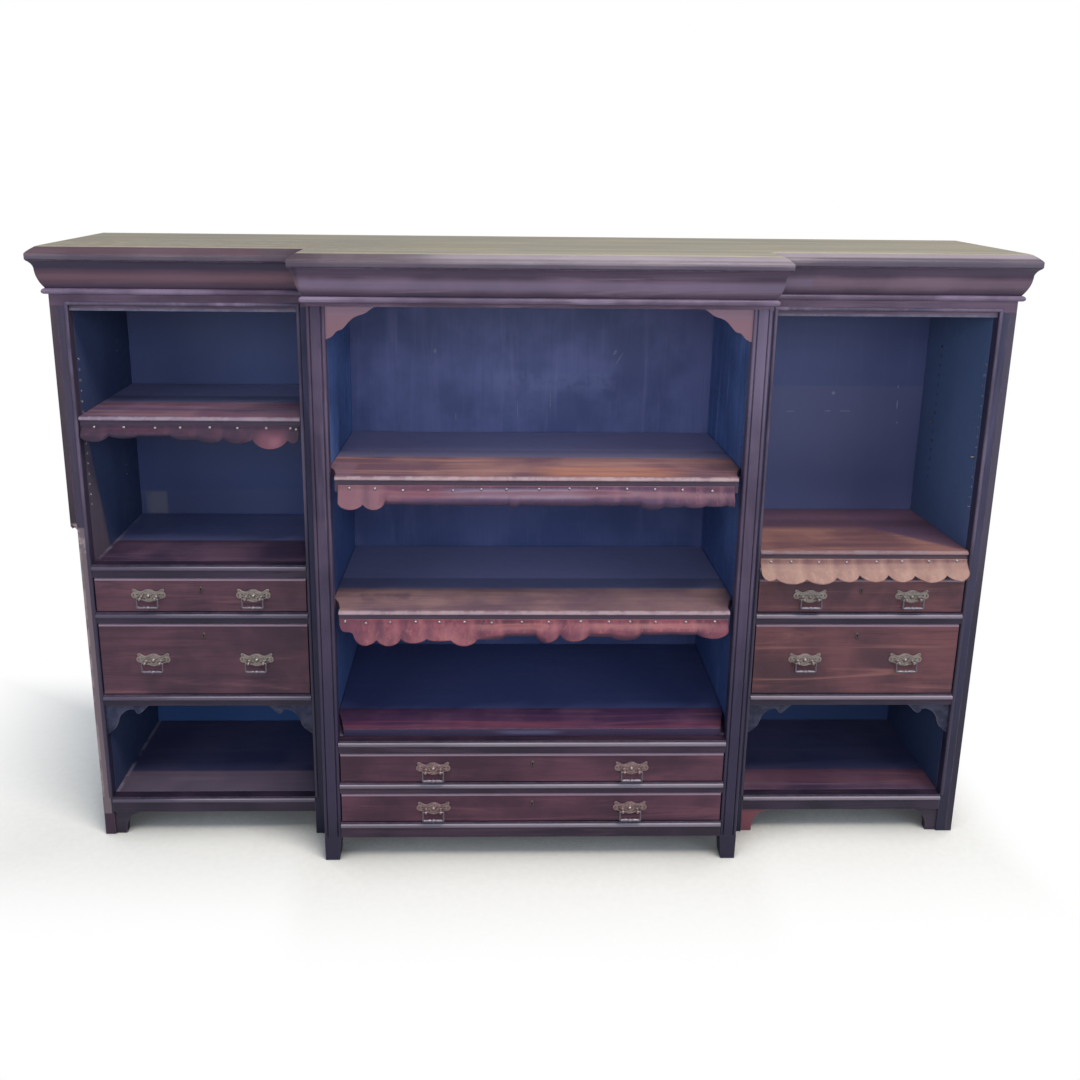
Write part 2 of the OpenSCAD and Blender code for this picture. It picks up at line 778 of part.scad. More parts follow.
// Leather edging: a scalloped strip, tacked at its upper edge, whose lower edge waves.
// Each drop is the fall of one scallop as a share of the full height: short ones are curled up.
// It is drawn where it is tacked: y = 0 is the lip's face and z = 0 the upper edge.
cols = 6;
rows = 4;
function scallop_fall(drops, i) =
    let (k = min(floor(i / cols), len(drops) - 1), f = i / cols - k)
    leather_h * drops[k] - scallop_d * (1 - sin(180 * f));
function wave_out(drops, i, t) =
    let (k = min(floor(i / cols), len(drops) - 1), short = 1 - drops[k])
    (leather_wave * (0.5 + 0.5 * sin(137 * i / cols)) + leather_wave * short) * t * t;

module edging(x0, x1, drops, lean) {
    n = cols * len(drops);
    step = (x1 - x0) / n;
    row = rows + 1;
    side = (n + 1) * row;
    front = [for (i = [0 : n]) for (j = [0 : rows])
        [x0 + i * step, -leather_t - lean * j / rows - wave_out(drops, i, j / rows),
         -scallop_fall(drops, i) * j / rows]];
    back = [for (p = front) [p[0], p[1] + leather_t, p[2]]];
    skin = [for (i = [0 : n - 1]) for (j = [0 : rows - 1])
        let (a = i * row + j, b = a + row) [[a, b, b + 1], [a, b + 1, a + 1]]];
    front_faces = [for (q = skin) for (f = q) f];
    back_faces = [for (f = front_faces) [f[0] + side, f[2] + side, f[1] + side]];
    rim = concat(
        [for (i = [0 : n]) i * row + rows],
        [for (j = [rows - 1 : -1 : 0]) n * row + j],
        [for (i = [n - 1 : -1 : 0]) i * row],
        [for (j = [1 : rows - 1]) j]
    );
    rim_faces = [for (k = [0 : len(rim) - 1])
        let (a = rim[k], b = rim[(k + 1) % len(rim)])
        [[a, b, b + side], [a, b + side, a + side]]];
    polyhedron(concat(front, back),
        concat(front_faces, back_faces, [for (q = rim_faces) for (f = q) f]));
}

// One tack in the middle of each scallop, through the leather
tack_drop = 6;
tack_head_h = 1.6;

module tacks(x0, x1, drops, lean) {
    pitch = (x1 - x0) / len(drops);
    reach = leather_t + lean * (tack_drop + tack_r) / leather_h + tack_head_h;
    for (k = [0 : len(drops) - 1])
        translate([x0 + (k + 0.5) * pitch, 0, -tack_drop])
            rotate([90, 0, 0]) cylinder(r = tack_r, h = reach, $fn = 8);
}

// How far each scallop falls, from left to right, as shares of the full height
left_drops = [0.86, 0.72, 0.7, 0.72, 0.84, 0.86, 1, 0.86];
right_drops = [0.8, 0.87, 0.87, 0.87, 0.87, 0.87, 0.87, 0.87];
upper_drops = [0.95, 1, 0.62, 0.58, 0.55, 0.55, 0.52, 0.55, 0.55, 0.58, 0.62, 0.85, 0.9, 0.95];
lower_drops = [0.7, 0.95, 0.95, 1, 0.95, 0.9, 0.72, 0.75, 0.95, 0.95, 0.8, 0.8, 0.85, 0.85, 0.9];

module edging_with_tacks(x0, x1, drops, lean) {
    translate([0, -joint, board_t - leather_top]) {
        color(leather) edging(x0, x1, drops, lean);
        color(brass) tacks(x0, x1, drops, lean);
    }
}

module left_shelf_edging() {
    left_place() edging_with_tacks(
        -in_x + edging_play, -wing_open_x - edging_play, left_drops, 0);
}

// This one hangs over the bead of the rail below it
module right_shelf_edging() {
    right_place() edging_with_tacks(
        wing_open_x + edging_play, in_x - edging_play, right_drops, 2 * (bead_out + lip_set));
}

centre_edging_x = centre_open_x - corner_clear - edging_play;

module upper_shelf_edging() {
    centre_place(centre_high_hole)
        edging_with_tacks(-centre_edging_x, centre_edging_x, upper_drops, 0);
}

module lower_shelf_edging() {
    centre_place(centre_low_hole)
        edging_with_tacks(-centre_edging_x, centre_edging_x, lower_drops, 0);
}

// Drawers

function front_w(d) = d[2] - 2 * drawer_side_gap;
function front_h(d) = d[4] - drawer_run_gap - drawer_top_gap;
function drawer_low(d) = d[3] + drawer_run_gap;
front_set = 2;

module drawer_place(d) {
    translate([d[0], d[1] + front_set, drawer_low(d)]) children();
}

module drawer_front(d) {
    w = front_w(d);
    h = front_h(d);
    c = front_chamfer;
    color(mahogany) drawer_place(d) intersection() {
        translate([-w / 2, 0, 0]) cube([w, front_t, h]);
        translate([-w / 2, 0, 0]) rotate([90, 0, 90]) linear_extrude(w) polygon([
            [0, c], [c, 0], [front_t, 0], [front_t, h], [c, h], [0, h - c]
        ]);
    }
}

module drawer_box(d) {
    w = front_w(d);
    h = front_h(d) - side_drop;
    depth = d[5] - front_set;
    t = drawer_wall_t;
    floor_top = drawer_floor_up + drawer_floor_t;
    color(pale_wood) drawer_place(d) {
        slab(-w / 2, -w / 2 + t, front_t, depth, 0, h);
        slab(w / 2 - t, w / 2, front_t, depth, 0, h);
        slab(-w / 2 + t + joint, w / 2 - t - joint, depth - t, depth, floor_top + joint, h);
        slab(-w / 2 + t + joint, w / 2 - t - joint, front_t, depth, drawer_floor_up, floor_top);
    }
}

// Half outline of a handle's back plate, from its top middle to its bottom middle,
// in shares of half the width and half the height
plate_half = [
    [0, 0.86], [0.18, 0.8], [0.34, 0.55], [0.5, 0.42], [0.66, 0.62], [0.78, 0.95],
    [0.9, 1], [0.97, 0.82], [0.9, 0.62], [0.84, 0.4], [0.95, 0.22], [1, -0.08],
    [0.92, -0.36], [0.78, -0.46], [0.66, -0.36], [0.52, -0.62], [0.36, -0.8], [0.16, -0.98],
    [0, -1]
];

module plate_shape() {
    right = [for (p = plate_half) [p[0] * plate_w / 2, p[1] * plate_h / 2]];
    left = [for (k = [len(right) - 2 : -1 : 1]) [-right[k][0], right[k][1]]];
    difference() {
        polygon(concat(right, left));
        for (s = [-1, 1]) {
            translate([s * 0.3 * plate_w, -0.02 * plate_h]) circle(2.6);
            translate([s * 0.14 * plate_w, -0.24 * plate_h]) circle(2.2);
        }
    }
}

module handle_plate() {
    rotate([90, 0, 0]) linear_extrude(plate_t) plate_shape();
    translate([0, -plate_t, 0]) rotate([90, 0, 0]) rotate_extrude()
        polygon([[0, 0], [6.2, 0], [6, 1.6], [4.8, 3.4], [2.6, 4.8], [0, 5.2]]);
    for (s = [-1, 1]) difference() {
        translate([s * post_x, -plate_t, -pivot_drop]) rotate([90, 0, 0])
            cylinder(r = post_r, h = pivot_out + post_r - plate_t);
        translate([s * post_x, -pivot_out, -pivot_drop]) rotate([0, 90, 0])
            cylinder(r = bail_r + pin_play, h = 3 * post_r, center = true);
    }
}

module key_plate() {
    rotate([90, 0, 0]) linear_extrude(1.5) difference() {
        intersection() {
            circle(key_h / 2);
            square([key_w, key_h], center = true);
        }
        translate([0, 2.4]) circle(2);
        translate([-1, -4.4]) square([2, 7]);
    }
}

module lock_case() {
    slab(-32, 32, front_t, front_t + 9, -22, 12);
}

module drawer_brass(d) {
    color(brass) drawer_place(d) {
        for (s = [-1, 1]) translate([s * d[6], 0, front_h(d) / 2]) handle_plate();
        translate([0, 0, d[7]]) key_plate();
        translate([0, 0, d[7]]) lock_case();
    }
}

// The arms of a bail stand just outside its posts, and its pins pass through them
arm_gap = 0.6;
bail_x = post_x + post_r + bail_r + arm_gap;

module bail() {
    translate([0, -pivot_out, -pivot_drop]) union() {
        for (s = [-1, 1]) {
            translate([s * bail_x, 0, 0]) rotate([0, -s * 90, 0])
                cylinder(r = bail_r, h = bail_x - post_x + post_r);
            translate([s * bail_x, 0, -bail_drop]) cylinder(r = bail_r, h = bail_drop);
            translate([s * bail_x, 0, 0]) sphere(bail_r);
            translate([s * bail_x, 0, -bail_drop]) sphere(bail_r + 0.5);
        }
        translate([-bail_x, 0, -bail_drop]) rotate([0, 90, 0])
            cylinder(r = bail_r + 0.3, h = 2 * bail_x);
        translate([0, 0, -bail_drop]) rotate([0, 90, 0]) rotate_extrude()
            polygon([[0, -9], [2.4, -8], [2.9, -3], [4, 0], [2.9, 3], [2.4, 8], [0, 9]]);
    }
}

module drawer_bail(d, side) {
    color(brass) drawer_place(d)
        translate([side * d[6], 0, front_h(d) / 2]) bail();
}

top_board();
cornice_moulding();
bead_moulding();
friezes();
left_end_panel();
right_end_panel();
wing_inner_sides();
centre_sides();
centre_stiles();
wing_stiles();
outer_edge_strips();
opening_beads();
back_boards();
fixed_boards();
dust_boards();
wing_rails();
centre_rails();
drawer_guides();
corner_brackets();
foot_brackets();
shelf_pegs();
left_shelf();
left_shelf_edging();
right_shelf();
right_shelf_edging();
upper_shelf();
upper_shelf_edging();
lower_shelf();
lower_shelf_edging();
loose_shelf();
drawer_front(left_upper);  // left_upper_front
drawer_box(left_upper);  // left_upper_box
drawer_brass(left_upper);  // left_upper_brass
drawer_bail(left_upper, -1);  // left_upper_bail_a
drawer_bail(left_upper, 1);  // left_upper_bail_b
drawer_front(left_lower);  // left_lower_front
drawer_box(left_lower);  // left_lower_box
drawer_brass(left_lower);  // left_lower_brass
drawer_bail(left_lower, -1);  // left_lower_bail_a
drawer_bail(left_lower, 1);  // left_lower_bail_b
drawer_front(right_upper);  // right_upper_front
drawer_box(right_upper);  // right_upper_box
drawer_brass(right_upper);  // right_upper_brass
drawer_bail(right_upper, -1);  // right_upper_bail_a
drawer_bail(right_upper, 1);  // right_upper_bail_b
drawer_front(right_lower);  // right_lower_front
drawer_box(right_lower);  // right_lower_box
drawer_brass(right_lower);  // right_lower_brass
drawer_bail(right_lower, -1);  // right_lower_bail_a
drawer_bail(right_lower, 1);  // right_lower_bail_b
drawer_front(centre_upper);  // centre_upper_front
drawer_box(centre_upper);  // centre_upper_box
drawer_brass(centre_upper);  // centre_upper_brass
drawer_bail(centre_upper, -1);  // centre_upper_bail_a
drawer_bail(centre_upper, 1);  // centre_upper_bail_b
drawer_front(centre_lower);  // centre_lower_front
drawer_box(centre_lower);  // centre_lower_box
drawer_brass(centre_lower);  // centre_lower_brass
drawer_bail(centre_lower, -1);  // centre_lower_bail_a
drawer_bail(centre_lower, 1);  // centre_lower_bail_b
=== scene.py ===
import math
import random
from collections import namedtuple

import bpy
from mathutils import Matrix, Vector, noise


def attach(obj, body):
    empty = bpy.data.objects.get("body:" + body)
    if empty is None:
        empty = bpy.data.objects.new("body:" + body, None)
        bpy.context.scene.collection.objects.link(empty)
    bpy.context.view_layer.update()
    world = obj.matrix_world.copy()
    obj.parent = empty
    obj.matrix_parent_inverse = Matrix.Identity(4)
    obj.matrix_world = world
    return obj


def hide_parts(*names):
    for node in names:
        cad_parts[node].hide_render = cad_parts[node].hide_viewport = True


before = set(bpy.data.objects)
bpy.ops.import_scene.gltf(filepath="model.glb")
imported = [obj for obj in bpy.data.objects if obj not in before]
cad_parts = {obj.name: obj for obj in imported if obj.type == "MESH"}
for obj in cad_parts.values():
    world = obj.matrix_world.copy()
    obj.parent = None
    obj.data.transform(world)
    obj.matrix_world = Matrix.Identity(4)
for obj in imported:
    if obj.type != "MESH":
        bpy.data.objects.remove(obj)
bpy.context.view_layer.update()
MM = 0.001

# Main sizes of the bookcase in millimetres, the same as in the part's source
FACE_Y, WING_Y, BACK_IN = -202, -107, 221
IN_X, WING_OPEN_X, WING_SIDE_X = 1061, 549, 531
WING_CX = (IN_X + WING_OPEN_X) / 2
FRONT_PEG_Y, REAR_PEG_Y, CENTRE_PEG_Y = -75, 143, -120
PEG_Z0, PEG_PITCH, CENTRE_PEG_UP, REAR_DROP = 20, 25.4, 13.5, 12.7
PEG_ROWS = {"left": 42, "upper": 37, "lower": 24}
FRONT_SET, RUN_GAP, TOP_GAP = 2, 0.5, 2.5
POST_X, POST_R, PIVOT_OUT, PIVOT_DROP, PLATE_T = 18, 3.6, 12, 4, 2
BOARD_T, WING_SHELF_D, LIP_SET, LIP_T, LIP_H = 20, 322, 4, 16, 37

# Each drawer: middle x, face y, floor z, opening height, handle distance, keyhole height
DRAWERS = {
    "left_upper": (-WING_CX, WING_Y, 618, 90, 126, 58),
    "left_lower": (-WING_CX, WING_Y, 396, 192, 126, 158),
    "right_upper": (WING_CX, WING_Y, 618, 90, 126, 58),
    "right_lower": (WING_CX, WING_Y, 396, 192, 126, 158),
    "centre_upper": (0, FACE_Y, 217, 80, 241, 49),
    "centre_lower": (0, FACE_Y, 107, 80, 241, 49),
}


def colour(r, g, b):
    """An sRGB colour from 0 to 255 as linear RGBA."""
    def linear(c):
        c /= 255
        return ((c + 0.055) / 1.055) ** 2.4 if c > 0.04045 else c / 12.92
    return (linear(r), linear(g), linear(b), 1.0)


def new_object(name, data):
    made = bpy.data.objects.new(name, data)
    bpy.context.scene.collection.objects.link(made)
    return made


# Camera: the photograph's place, direction and framing

def make_camera():
    yaw, pitch, roll = 0.0215, -0.2142, 0.0111
    place = (-0.1000, -2.1894, 1.7057)
    ahead = Vector((math.sin(yaw) * math.cos(pitch), math.cos(yaw) * math.cos(pitch), math.sin(pitch)))
    side = Vector((math.cos(yaw), -math.sin(yaw), 0))
    up = side.cross(ahead)
    right = side * math.cos(roll) + up * math.sin(roll)
    top = up * math.cos(roll) - side * math.sin(roll)
    data = bpy.data.cameras.new("camera")
    data.sensor_width = 36
    data.lens = 30.896
    data.shift_x, data.shift_y = 0.0245, -0.1675
    data.clip_start, data.clip_end = 0.05, 80
    camera = new_object("camera", data)
    camera.matrix_world = Matrix([(right[i], top[i], -ahead[i], place[i]) for i in range(3)] + [(0, 0, 0, 1)])
    bpy.context.scene.camera = camera


# Node trees

class Shader:
    """Short calls that build one material's node tree around a Principled shader."""

    def __init__(self, name, rough=0.5, metal=0.0, **constants):
        self.material = bpy.data.materials.new(name)
        self.material.use_nodes = True
        self.tree = self.material.node_tree
        self.tree.nodes.clear()
        out = self.tree.nodes.new("ShaderNodeOutputMaterial")
        self.bsdf = self.tree.nodes.new("ShaderNodeBsdfPrincipled")
        self.tree.links.new(self.bsdf.outputs[0], out.inputs[0])
        for key, value in {"Roughness": rough, "Metallic": metal, **constants}.items():
            self.bsdf.inputs[key.replace("_", " ")].default_value = value
        self.place = self.tree.nodes.new("ShaderNodeTexCoord").outputs["Object"]
        self.axes = list(self.node("SeparateXYZ", {0: self.place}).outputs)
        self.normal = self.node("NewGeometry").outputs["Normal"]
        self.facing = list(self.node("SeparateXYZ", {0: self.normal}).outputs)

    def put(self, socket, value):
        if isinstance(value, bpy.types.NodeSocket):
            self.tree.links.new(value, socket)
        else:
            socket.default_value = value

    def node(self, kind, ins=None, **props):
        made = self.tree.nodes.new("ShaderNode" + kind)
        for key, value in props.items():
            setattr(made, key, value)
        for key, value in (ins or {}).items():
            self.put(made.inputs[key], value)
        return made

    def math(self, operation, a, b=0.0):
        return self.node("Math", {0: a, 1: b}, operation=operation).outputs[0]

    def times(self, a, b):
        return self.math("MULTIPLY", a, b)

    def vector(self, operation, a, b):
        return self.node("VectorMath", {0: a, 1: b}, operation=operation).outputs

    def mix(self, share, a, b):
        """Mixes two tones, each a socket or an sRGB colour from 0 to 255."""
        a, b = (c if isinstance(c, bpy.types.NodeSocket) else colour(*c) for c in (a, b))
        return self.node("Mix", {0: share, 6: a, 7: b}, data_type="RGBA").outputs[2]

    def ramp(self, value, low, high, a=0.0, b=1.0):
        made = self.node("MapRange", {0: value, 1: low, 2: high, 3: a, 4: b},
                         interpolation_type="SMOOTHSTEP")
        return made.outputs[0]

    def noise(self, vector, scale=1.0, detail=3.0, rough=0.55, twist=0.0):
        made = self.node("TexNoise", {
            "Vector": vector, "Scale": scale, "Detail": detail, "Roughness": rough, "Distortion": twist})
        return made.outputs["Fac"]

    def cover(self, distance, samples):
        """1 on open places, less in hollows narrower than the distance in metres."""
        return self.node("AmbientOcclusion", {"Distance": distance}, samples=samples).outputs["AO"]

    def band(self, axis, low, high, soft):
        """1 where a coordinate is between low and high, in millimetres, with soft ends."""
        value = self.axes[axis]
        rise = self.ramp(value, (low - soft) * MM, (low + soft) * MM)
        fall = self.ramp(value, (high - soft) * MM, (high + soft) * MM, 1.0, 0.0)
        return self.times(rise, fall)

    def beyond(self, across, along, slope, start, soft):
        """1 where one coordinate is above start + slope times another, in millimetres."""
        limit = self.math("SUBTRACT", self.axes[across], self.times(self.axes[along], slope))
        return self.ramp(limit, (start - soft) * MM, (start + soft) * MM)

    def zone(self, x, y, z, soft):
        """A box-shaped mask in millimetres; each of x, y and z is (low, high) or None, and soft is
        one softness or one for each of the three."""
        softs = soft if isinstance(soft, tuple) else (soft, soft, soft)
        shares = [self.band(i, *span, softs[i]) for i, span in enumerate((x, y, z)) if span]
        total = shares[0]
        for share in shares[1:]:
            total = self.times(total, share)
        return total

    def paint(self, tone, mask, strength, paint):
        """The tone with another one laid over it where the mask is 1."""
        return self.mix(self.times(mask, strength), tone, paint)

    def finish(self, tone, height, strength, depth, normal=None):
        """Sets the colour and a bump on the surface, or on the given normal."""
        ins = {"Strength": strength, "Distance": depth, "Height": height}
        if normal is not None:
            ins["Normal"] = normal
        self.put(self.bsdf.inputs["Base Color"], tone)
        self.put(self.bsdf.inputs["Normal"], self.node("Bump", ins).outputs[0])
        return self.material


# A part of a piece with another tone: its spans and softness in millimetres, the tone and its
# strength, how it is broken up, and a slanting limit as Shader.beyond takes it without soft
Area = namedtuple("Area", "x y z soft paint strength breakup slant", defaults=(None, None))
STREAKS, SPOTS = "streaks", "spots"
ALONG_X, ALONG_Z = 0, 2


def wood(name, along, base, dark, light, rough=0.42, figure=1.0, wear=0.5, wear_tone=(150, 128, 140),
         wear_width=2.5, areas=(), crest=None, polish=0.22, seed=0.0):
    """Polished, aged wood with its grain along one axis, worn at its edges; its areas lay other tones over
    it, painted light and shade among them.

    The crest is (x, y, paint, strength): a painted highlight on the upward-facing side of a bead within those
    spans."""
    s = Shader(name, Specular_IOR_Level=polish)
    grain, fine = [26.0, 26.0, 26.0], [420.0, 420.0, 420.0]
    grain[along], fine[along] = 1.6, 9.0
    offset = s.vector("ADD", s.place, (seed, seed * 0.7, seed * 1.3))[0]
    broad = s.vector("MULTIPLY", offset, grain)[0]
    narrow = s.vector("MULTIPLY", offset, fine)[0]
    streak = s.noise(broad, 1.0, 5.0, 0.62, 1.4)
    pores = s.noise(narrow, 1.0, 2.0, 0.6)
    cloud = s.noise(offset, 5.0, 4.0, 0.55)
    tone = s.mix(s.ramp(cloud, 0.36, 0.64), dark, base)
    tone = s.mix(s.ramp(streak, 0.5, 0.3, 0.0, 0.55 * figure), tone, dark)
    tone = s.mix(s.ramp(streak, 0.52, 0.74, 0.0, 0.7 * figure), tone, light)
    tone = s.mix(s.ramp(pores, 0.5, 0.75, 0.0, 0.3 * figure), tone, [0.6 * c for c in dark])
    for area in areas:
        area = Area(*area)
        mask = s.zone(area.x, area.y, area.z, area.soft)
        if area.slant:
            mask = s.times(mask, s.beyond(*area.slant, area.soft))
        if area.breakup:
            vector, scale = (broad, 1.0) if area.breakup == STREAKS else (offset, 30.0)
            mask = s.times(mask, s.ramp(s.noise(vector, scale, 4.0, 0.7), 0.4, 0.58))
        tone = s.paint(tone, mask, area.strength, area.paint)
    # Painted highlight on the upward-facing side of a bead
    if crest:
        x, y, paint, strength = crest
        mask = s.times(s.zone(x, y, None, (120, 0.4, 1)), s.ramp(s.facing[2], 0.3, 0.75))
        mask = s.times(mask, s.ramp(streak, 0.35, 0.6, 0.6, 1.0))
        tone = s.paint(tone, mask, strength, paint)
    rounded = s.node("Bevel", {"Radius": wear_width * MM}, samples=4).outputs[0]
    sharp = s.vector("DOT_PRODUCT", rounded, s.normal)["Value"]
    edge = s.ramp(sharp, 0.99, 0.8, 0.0, wear)
    scuffs = s.noise(offset, 38.0, 4.0, 0.7)
    edge = s.times(edge, s.ramp(scuffs, 0.36, 0.6, 0.15, 1.0))
    tone = s.mix(edge, tone, wear_tone)
    dull = s.math("ADD", cloud, s.times(scuffs, 0.5))
    s.put(s.bsdf.inputs["Roughness"], s.ramp(dull, 0.45, 1.0, rough - 0.08, rough + 0.16))
    height = s.math("ADD", streak, s.times(pores, 0.6))
    return s.finish(tone, height, 0.22, 0.0005, rounded)


def leather(name, base, dark, light, under, areas, shaded_folds):
    """Thin dry leather: mottled and creased, with a painted highlight on its upward faces and painted shade,
    with some dirt, on its downward faces; painted shade in a fold over each cusp at the x in shaded_folds,
    and a painted highlight beside it."""
    s = Shader(name, rough=0.55, Specular_IOR_Level=0.3)
    patch = s.noise(s.place, 16.0, 4.0, 0.6, 0.4)
    creases = s.noise(s.vector("MULTIPLY", s.place, (90.0, 90.0, 30.0))[0], 1.0, 4.0, 0.65, 0.8)
    cells = s.node("TexVoronoi", {"Vector": s.place, "Scale": 700.0}, feature="SMOOTH_F1")
    tone = s.mix(s.ramp(patch, 0.34, 0.66), dark, base)
    tone = s.mix(s.ramp(creases, 0.48, 0.3, 0.0, 0.5), tone, under)
    tone = s.mix(s.ramp(creases, 0.5, 0.74, 0.0, 0.6), tone, light)
    for area in areas:
        area = Area(*area)
        tone = s.paint(tone, s.zone(area.x, area.y, area.z, area.soft), area.strength, area.paint)
    # Painted shade in the fold over each cusp, and a painted highlight beside it
    for x in shaded_folds:
        tone = s.paint(tone, s.band(0, x + 1, x + 13, 9), 0.45, under)
        tone = s.paint(tone, s.band(0, x - 16, x - 7, 8), 0.3, light)
    # Painted highlight on upward faces; painted shade, with some dirt, on downward faces
    tone = s.mix(s.ramp(s.facing[2], 0.35, 0.9, 0.0, 0.45), tone, light)
    tone = s.mix(s.ramp(s.facing[2], 0.15, -0.35, 0.0, 0.85), tone, under)
    s.put(s.bsdf.inputs["Roughness"], s.ramp(creases, 0.3, 0.7, 0.42, 0.66))
    height = s.math("ADD", creases, s.times(cells.outputs["Distance"], 0.35))
    return s.finish(tone, height, 0.5, 0.0007)


def metal(name, base, dark, light, rough=0.34):
    """Cast brass: dark in its hollows, rubbed bright on its high places, with painted shade on its downward
    faces and a painted highlight on its upward faces.
    """
    s = Shader(name, rough=rough, metal=0.85)
    blotch = s.noise(s.place, 240.0, 3.0, 0.6)
    fine = s.noise(s.place, 1500.0, 2.0, 0.5)
    tone = s.mix(s.ramp(blotch, 0.38, 0.6), dark, base)
    tone = s.mix(s.ramp(s.cover(0.005, 4), 0.7, 1.0, 0.0, 0.4), tone, light)
    # Painted shade on downward faces, painted highlight on upward faces
    tone = s.mix(s.ramp(s.facing[2], -0.1, -0.7, 0.0, 0.8), tone, dark)
    tone = s.mix(s.ramp(s.facing[2], 0.2, 0.8, 0.0, 0.8), tone, light)
    s.put(s.bsdf.inputs["Roughness"], s.ramp(blotch, 0.3, 0.7, rough - 0.08, rough + 0.14))
    return s.finish(tone, s.math("ADD", blotch, fine), 0.25, 0.0003)


def plain(name, tone):
    """Small dark or pale marks: one tone with a fine mottle."""
    s = Shader(name, rough=0.8, Specular_IOR_Level=0.1)
    grainy = s.noise(s.place, 400.0, 3.0, 0.6)
    shade = s.mix(s.ramp(grainy, 0.35, 0.65), [0.8 * c for c in tone], tone)
    return s.finish(shade, grainy, 0.3, 0.0003)


def assign(node, material):
    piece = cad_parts[node]
    piece.data.materials.clear()
    piece.data.materials.append(material)
    for face in piece.data.polygons:
        face.material_index = 0


def dress(node, name, along, base, dark, light, **look):
    assign(node, wood(name, along, base, dark, light, **look))


# Woods of the carcass. REAR is the bare back edge of the boards that stand on edge

REAR = (None, (222, 240), None, 1, (78, 62, 62), 0.9)


def dress_cornice():
    left, right, upside = (-1200, -520), (620, 1200), (1503, 1510)
    dress("top_board", "top_wood", ALONG_X, (96, 83, 89), (70, 57, 66), (124, 111, 115), rough=0.38, wear=0.6,
          figure=1.3, areas=(
        # Painted light on the nose: a highlight along its top edge and lighter in the middle; painted shade
        # low on it at the right and over the left end
        ((-250, 1200), None, (1495, 1504), (120, 1, 2), (170, 158, 164), 0.5),
        ((-250, 620), None, (1484, 1498), (120, 1, 3), (142, 130, 138), 0.4),
        (right, None, (1478, 1495), (20, 1, 3), (80, 72, 84), 0.55),
        ((-1200, -620), None, (1488, 1504), (20, 1, 3), (84, 62, 70), 0.7),
        # Painted shade low on the nose, darkest in a line along its lower edge
        (None, None, (1474, 1484), 1.5, (66, 56, 70), 0.6),
        (None, None, (1474, 1477.5), 1, (50, 42, 58), 0.7),
        # The top face: paler from dust and fading, with a painted sheen
        (None, None, upside, 0.6, (168, 160, 140), 0.88),
        (None, None, upside, 0.6, (122, 112, 102), 0.35, STREAKS),
        ((-1200, -300), (-400, 60), upside, (200, 60, 0.6), (140, 128, 112), 0.5, SPOTS)))
    dress("cornice_moulding", "cornice_wood", ALONG_X, (86, 65, 79), (60, 44, 57), (116, 92, 106), rough=0.36,
          wear=0.55, figure=1.3, seed=1.0, areas=(
        # Painted light on the ovolo's lit band; painted shade over the left end, in the groove under the nose
        # and on the ovolo's downward lower part
        ((-520, 620), None, (1424, 1447), 7, (112, 97, 118), 0.5),
        (right, None, (1424, 1447), 7, (112, 90, 102), 0.45),
        (left, None, (1400, 1476), 4, (68, 47, 58), 0.75),
        (left, None, (1428, 1444), 7, (106, 76, 84), 0.45),
        (None, None, (1456, 1476), 5, (60, 48, 66), 0.75),
        (left, None, (1454, 1476), 5, (40, 34, 52), 0.7),
        (None, None, (1400, 1418), 3, (54, 44, 62), 0.6)))
    dress("bead_moulding", "cornice_bead_wood", ALONG_X, (112, 96, 116), (74, 60, 78), (150, 132, 152),
          rough=0.34, wear=0.4, seed=2.0)
    dress("friezes", "frieze_wood", ALONG_X, (90, 69, 85), (66, 48, 63), (115, 90, 106), seed=3.0, areas=(
        # The bead along the frieze's lower edge: paler from rubbing, with a painted highlight
        (None, None, (1350, 1363), 1.5, (104, 98, 112), 0.8),
        (None, None, (1350, 1363), 0.8, (62, 58, 76), 0.5, SPOTS)))


def dress_sides():
    deck_z = 735
    # Inner face: painted lighter at its front where the light falls, and painted navy shadow behind a
    # slanting line and below the deck
    for node, seed, inner, navy, start in (("left_end_panel", 3.0, (-1070, -1040), (44, 57, 88), 182),
                                           ("right_end_panel", 5.0, (1040, 1070), (74, 92, 128), -400)):
        dress(node, node + "_wood", ALONG_Z, (78, 62, 74), (54, 42, 54), (104, 86, 96), rough=0.45, seed=seed,
              areas=(
            ((1080, 1110), (-125, -60), None, (1, 20, 1), (40, 37, 52), 0.8),
            (inner, (-120, 60), (deck_z, 1400), 2, (88, 80, 92), 0.6),
            (inner, None, None, 2, navy, 0.9, None, (1, 2, -0.237, start)),
            (inner, None, (0, deck_z), 2, (40, 50, 78), 0.92),
            REAR))
    # The inner sides are painted navy for the shade and blue cast inside the case
    dress("wing_inner_sides", "wing_side_wood", ALONG_Z, (62, 72, 106), (45, 54, 83), (81, 87, 118),
          rough=0.5, wear=0.2, seed=6.0, areas=(REAR,))
    dress("centre_sides", "centre_side_wood", ALONG_Z, (80, 101, 151), (59, 77, 121), (103, 120, 168),
          rough=0.5, wear=0.2, seed=7.0, areas=(
        ((495, 520), None, None, 2, (76, 62, 76), 0.85),
        ((-520, -495), None, None, 2, (76, 62, 76), 0.85),
        # Painted shade, darker in the middle of the centre sides
        ((-494, 494), (-180, 225), (300, 880), (2, 30, 150), (46, 62, 106), 0.6),
        REAR))


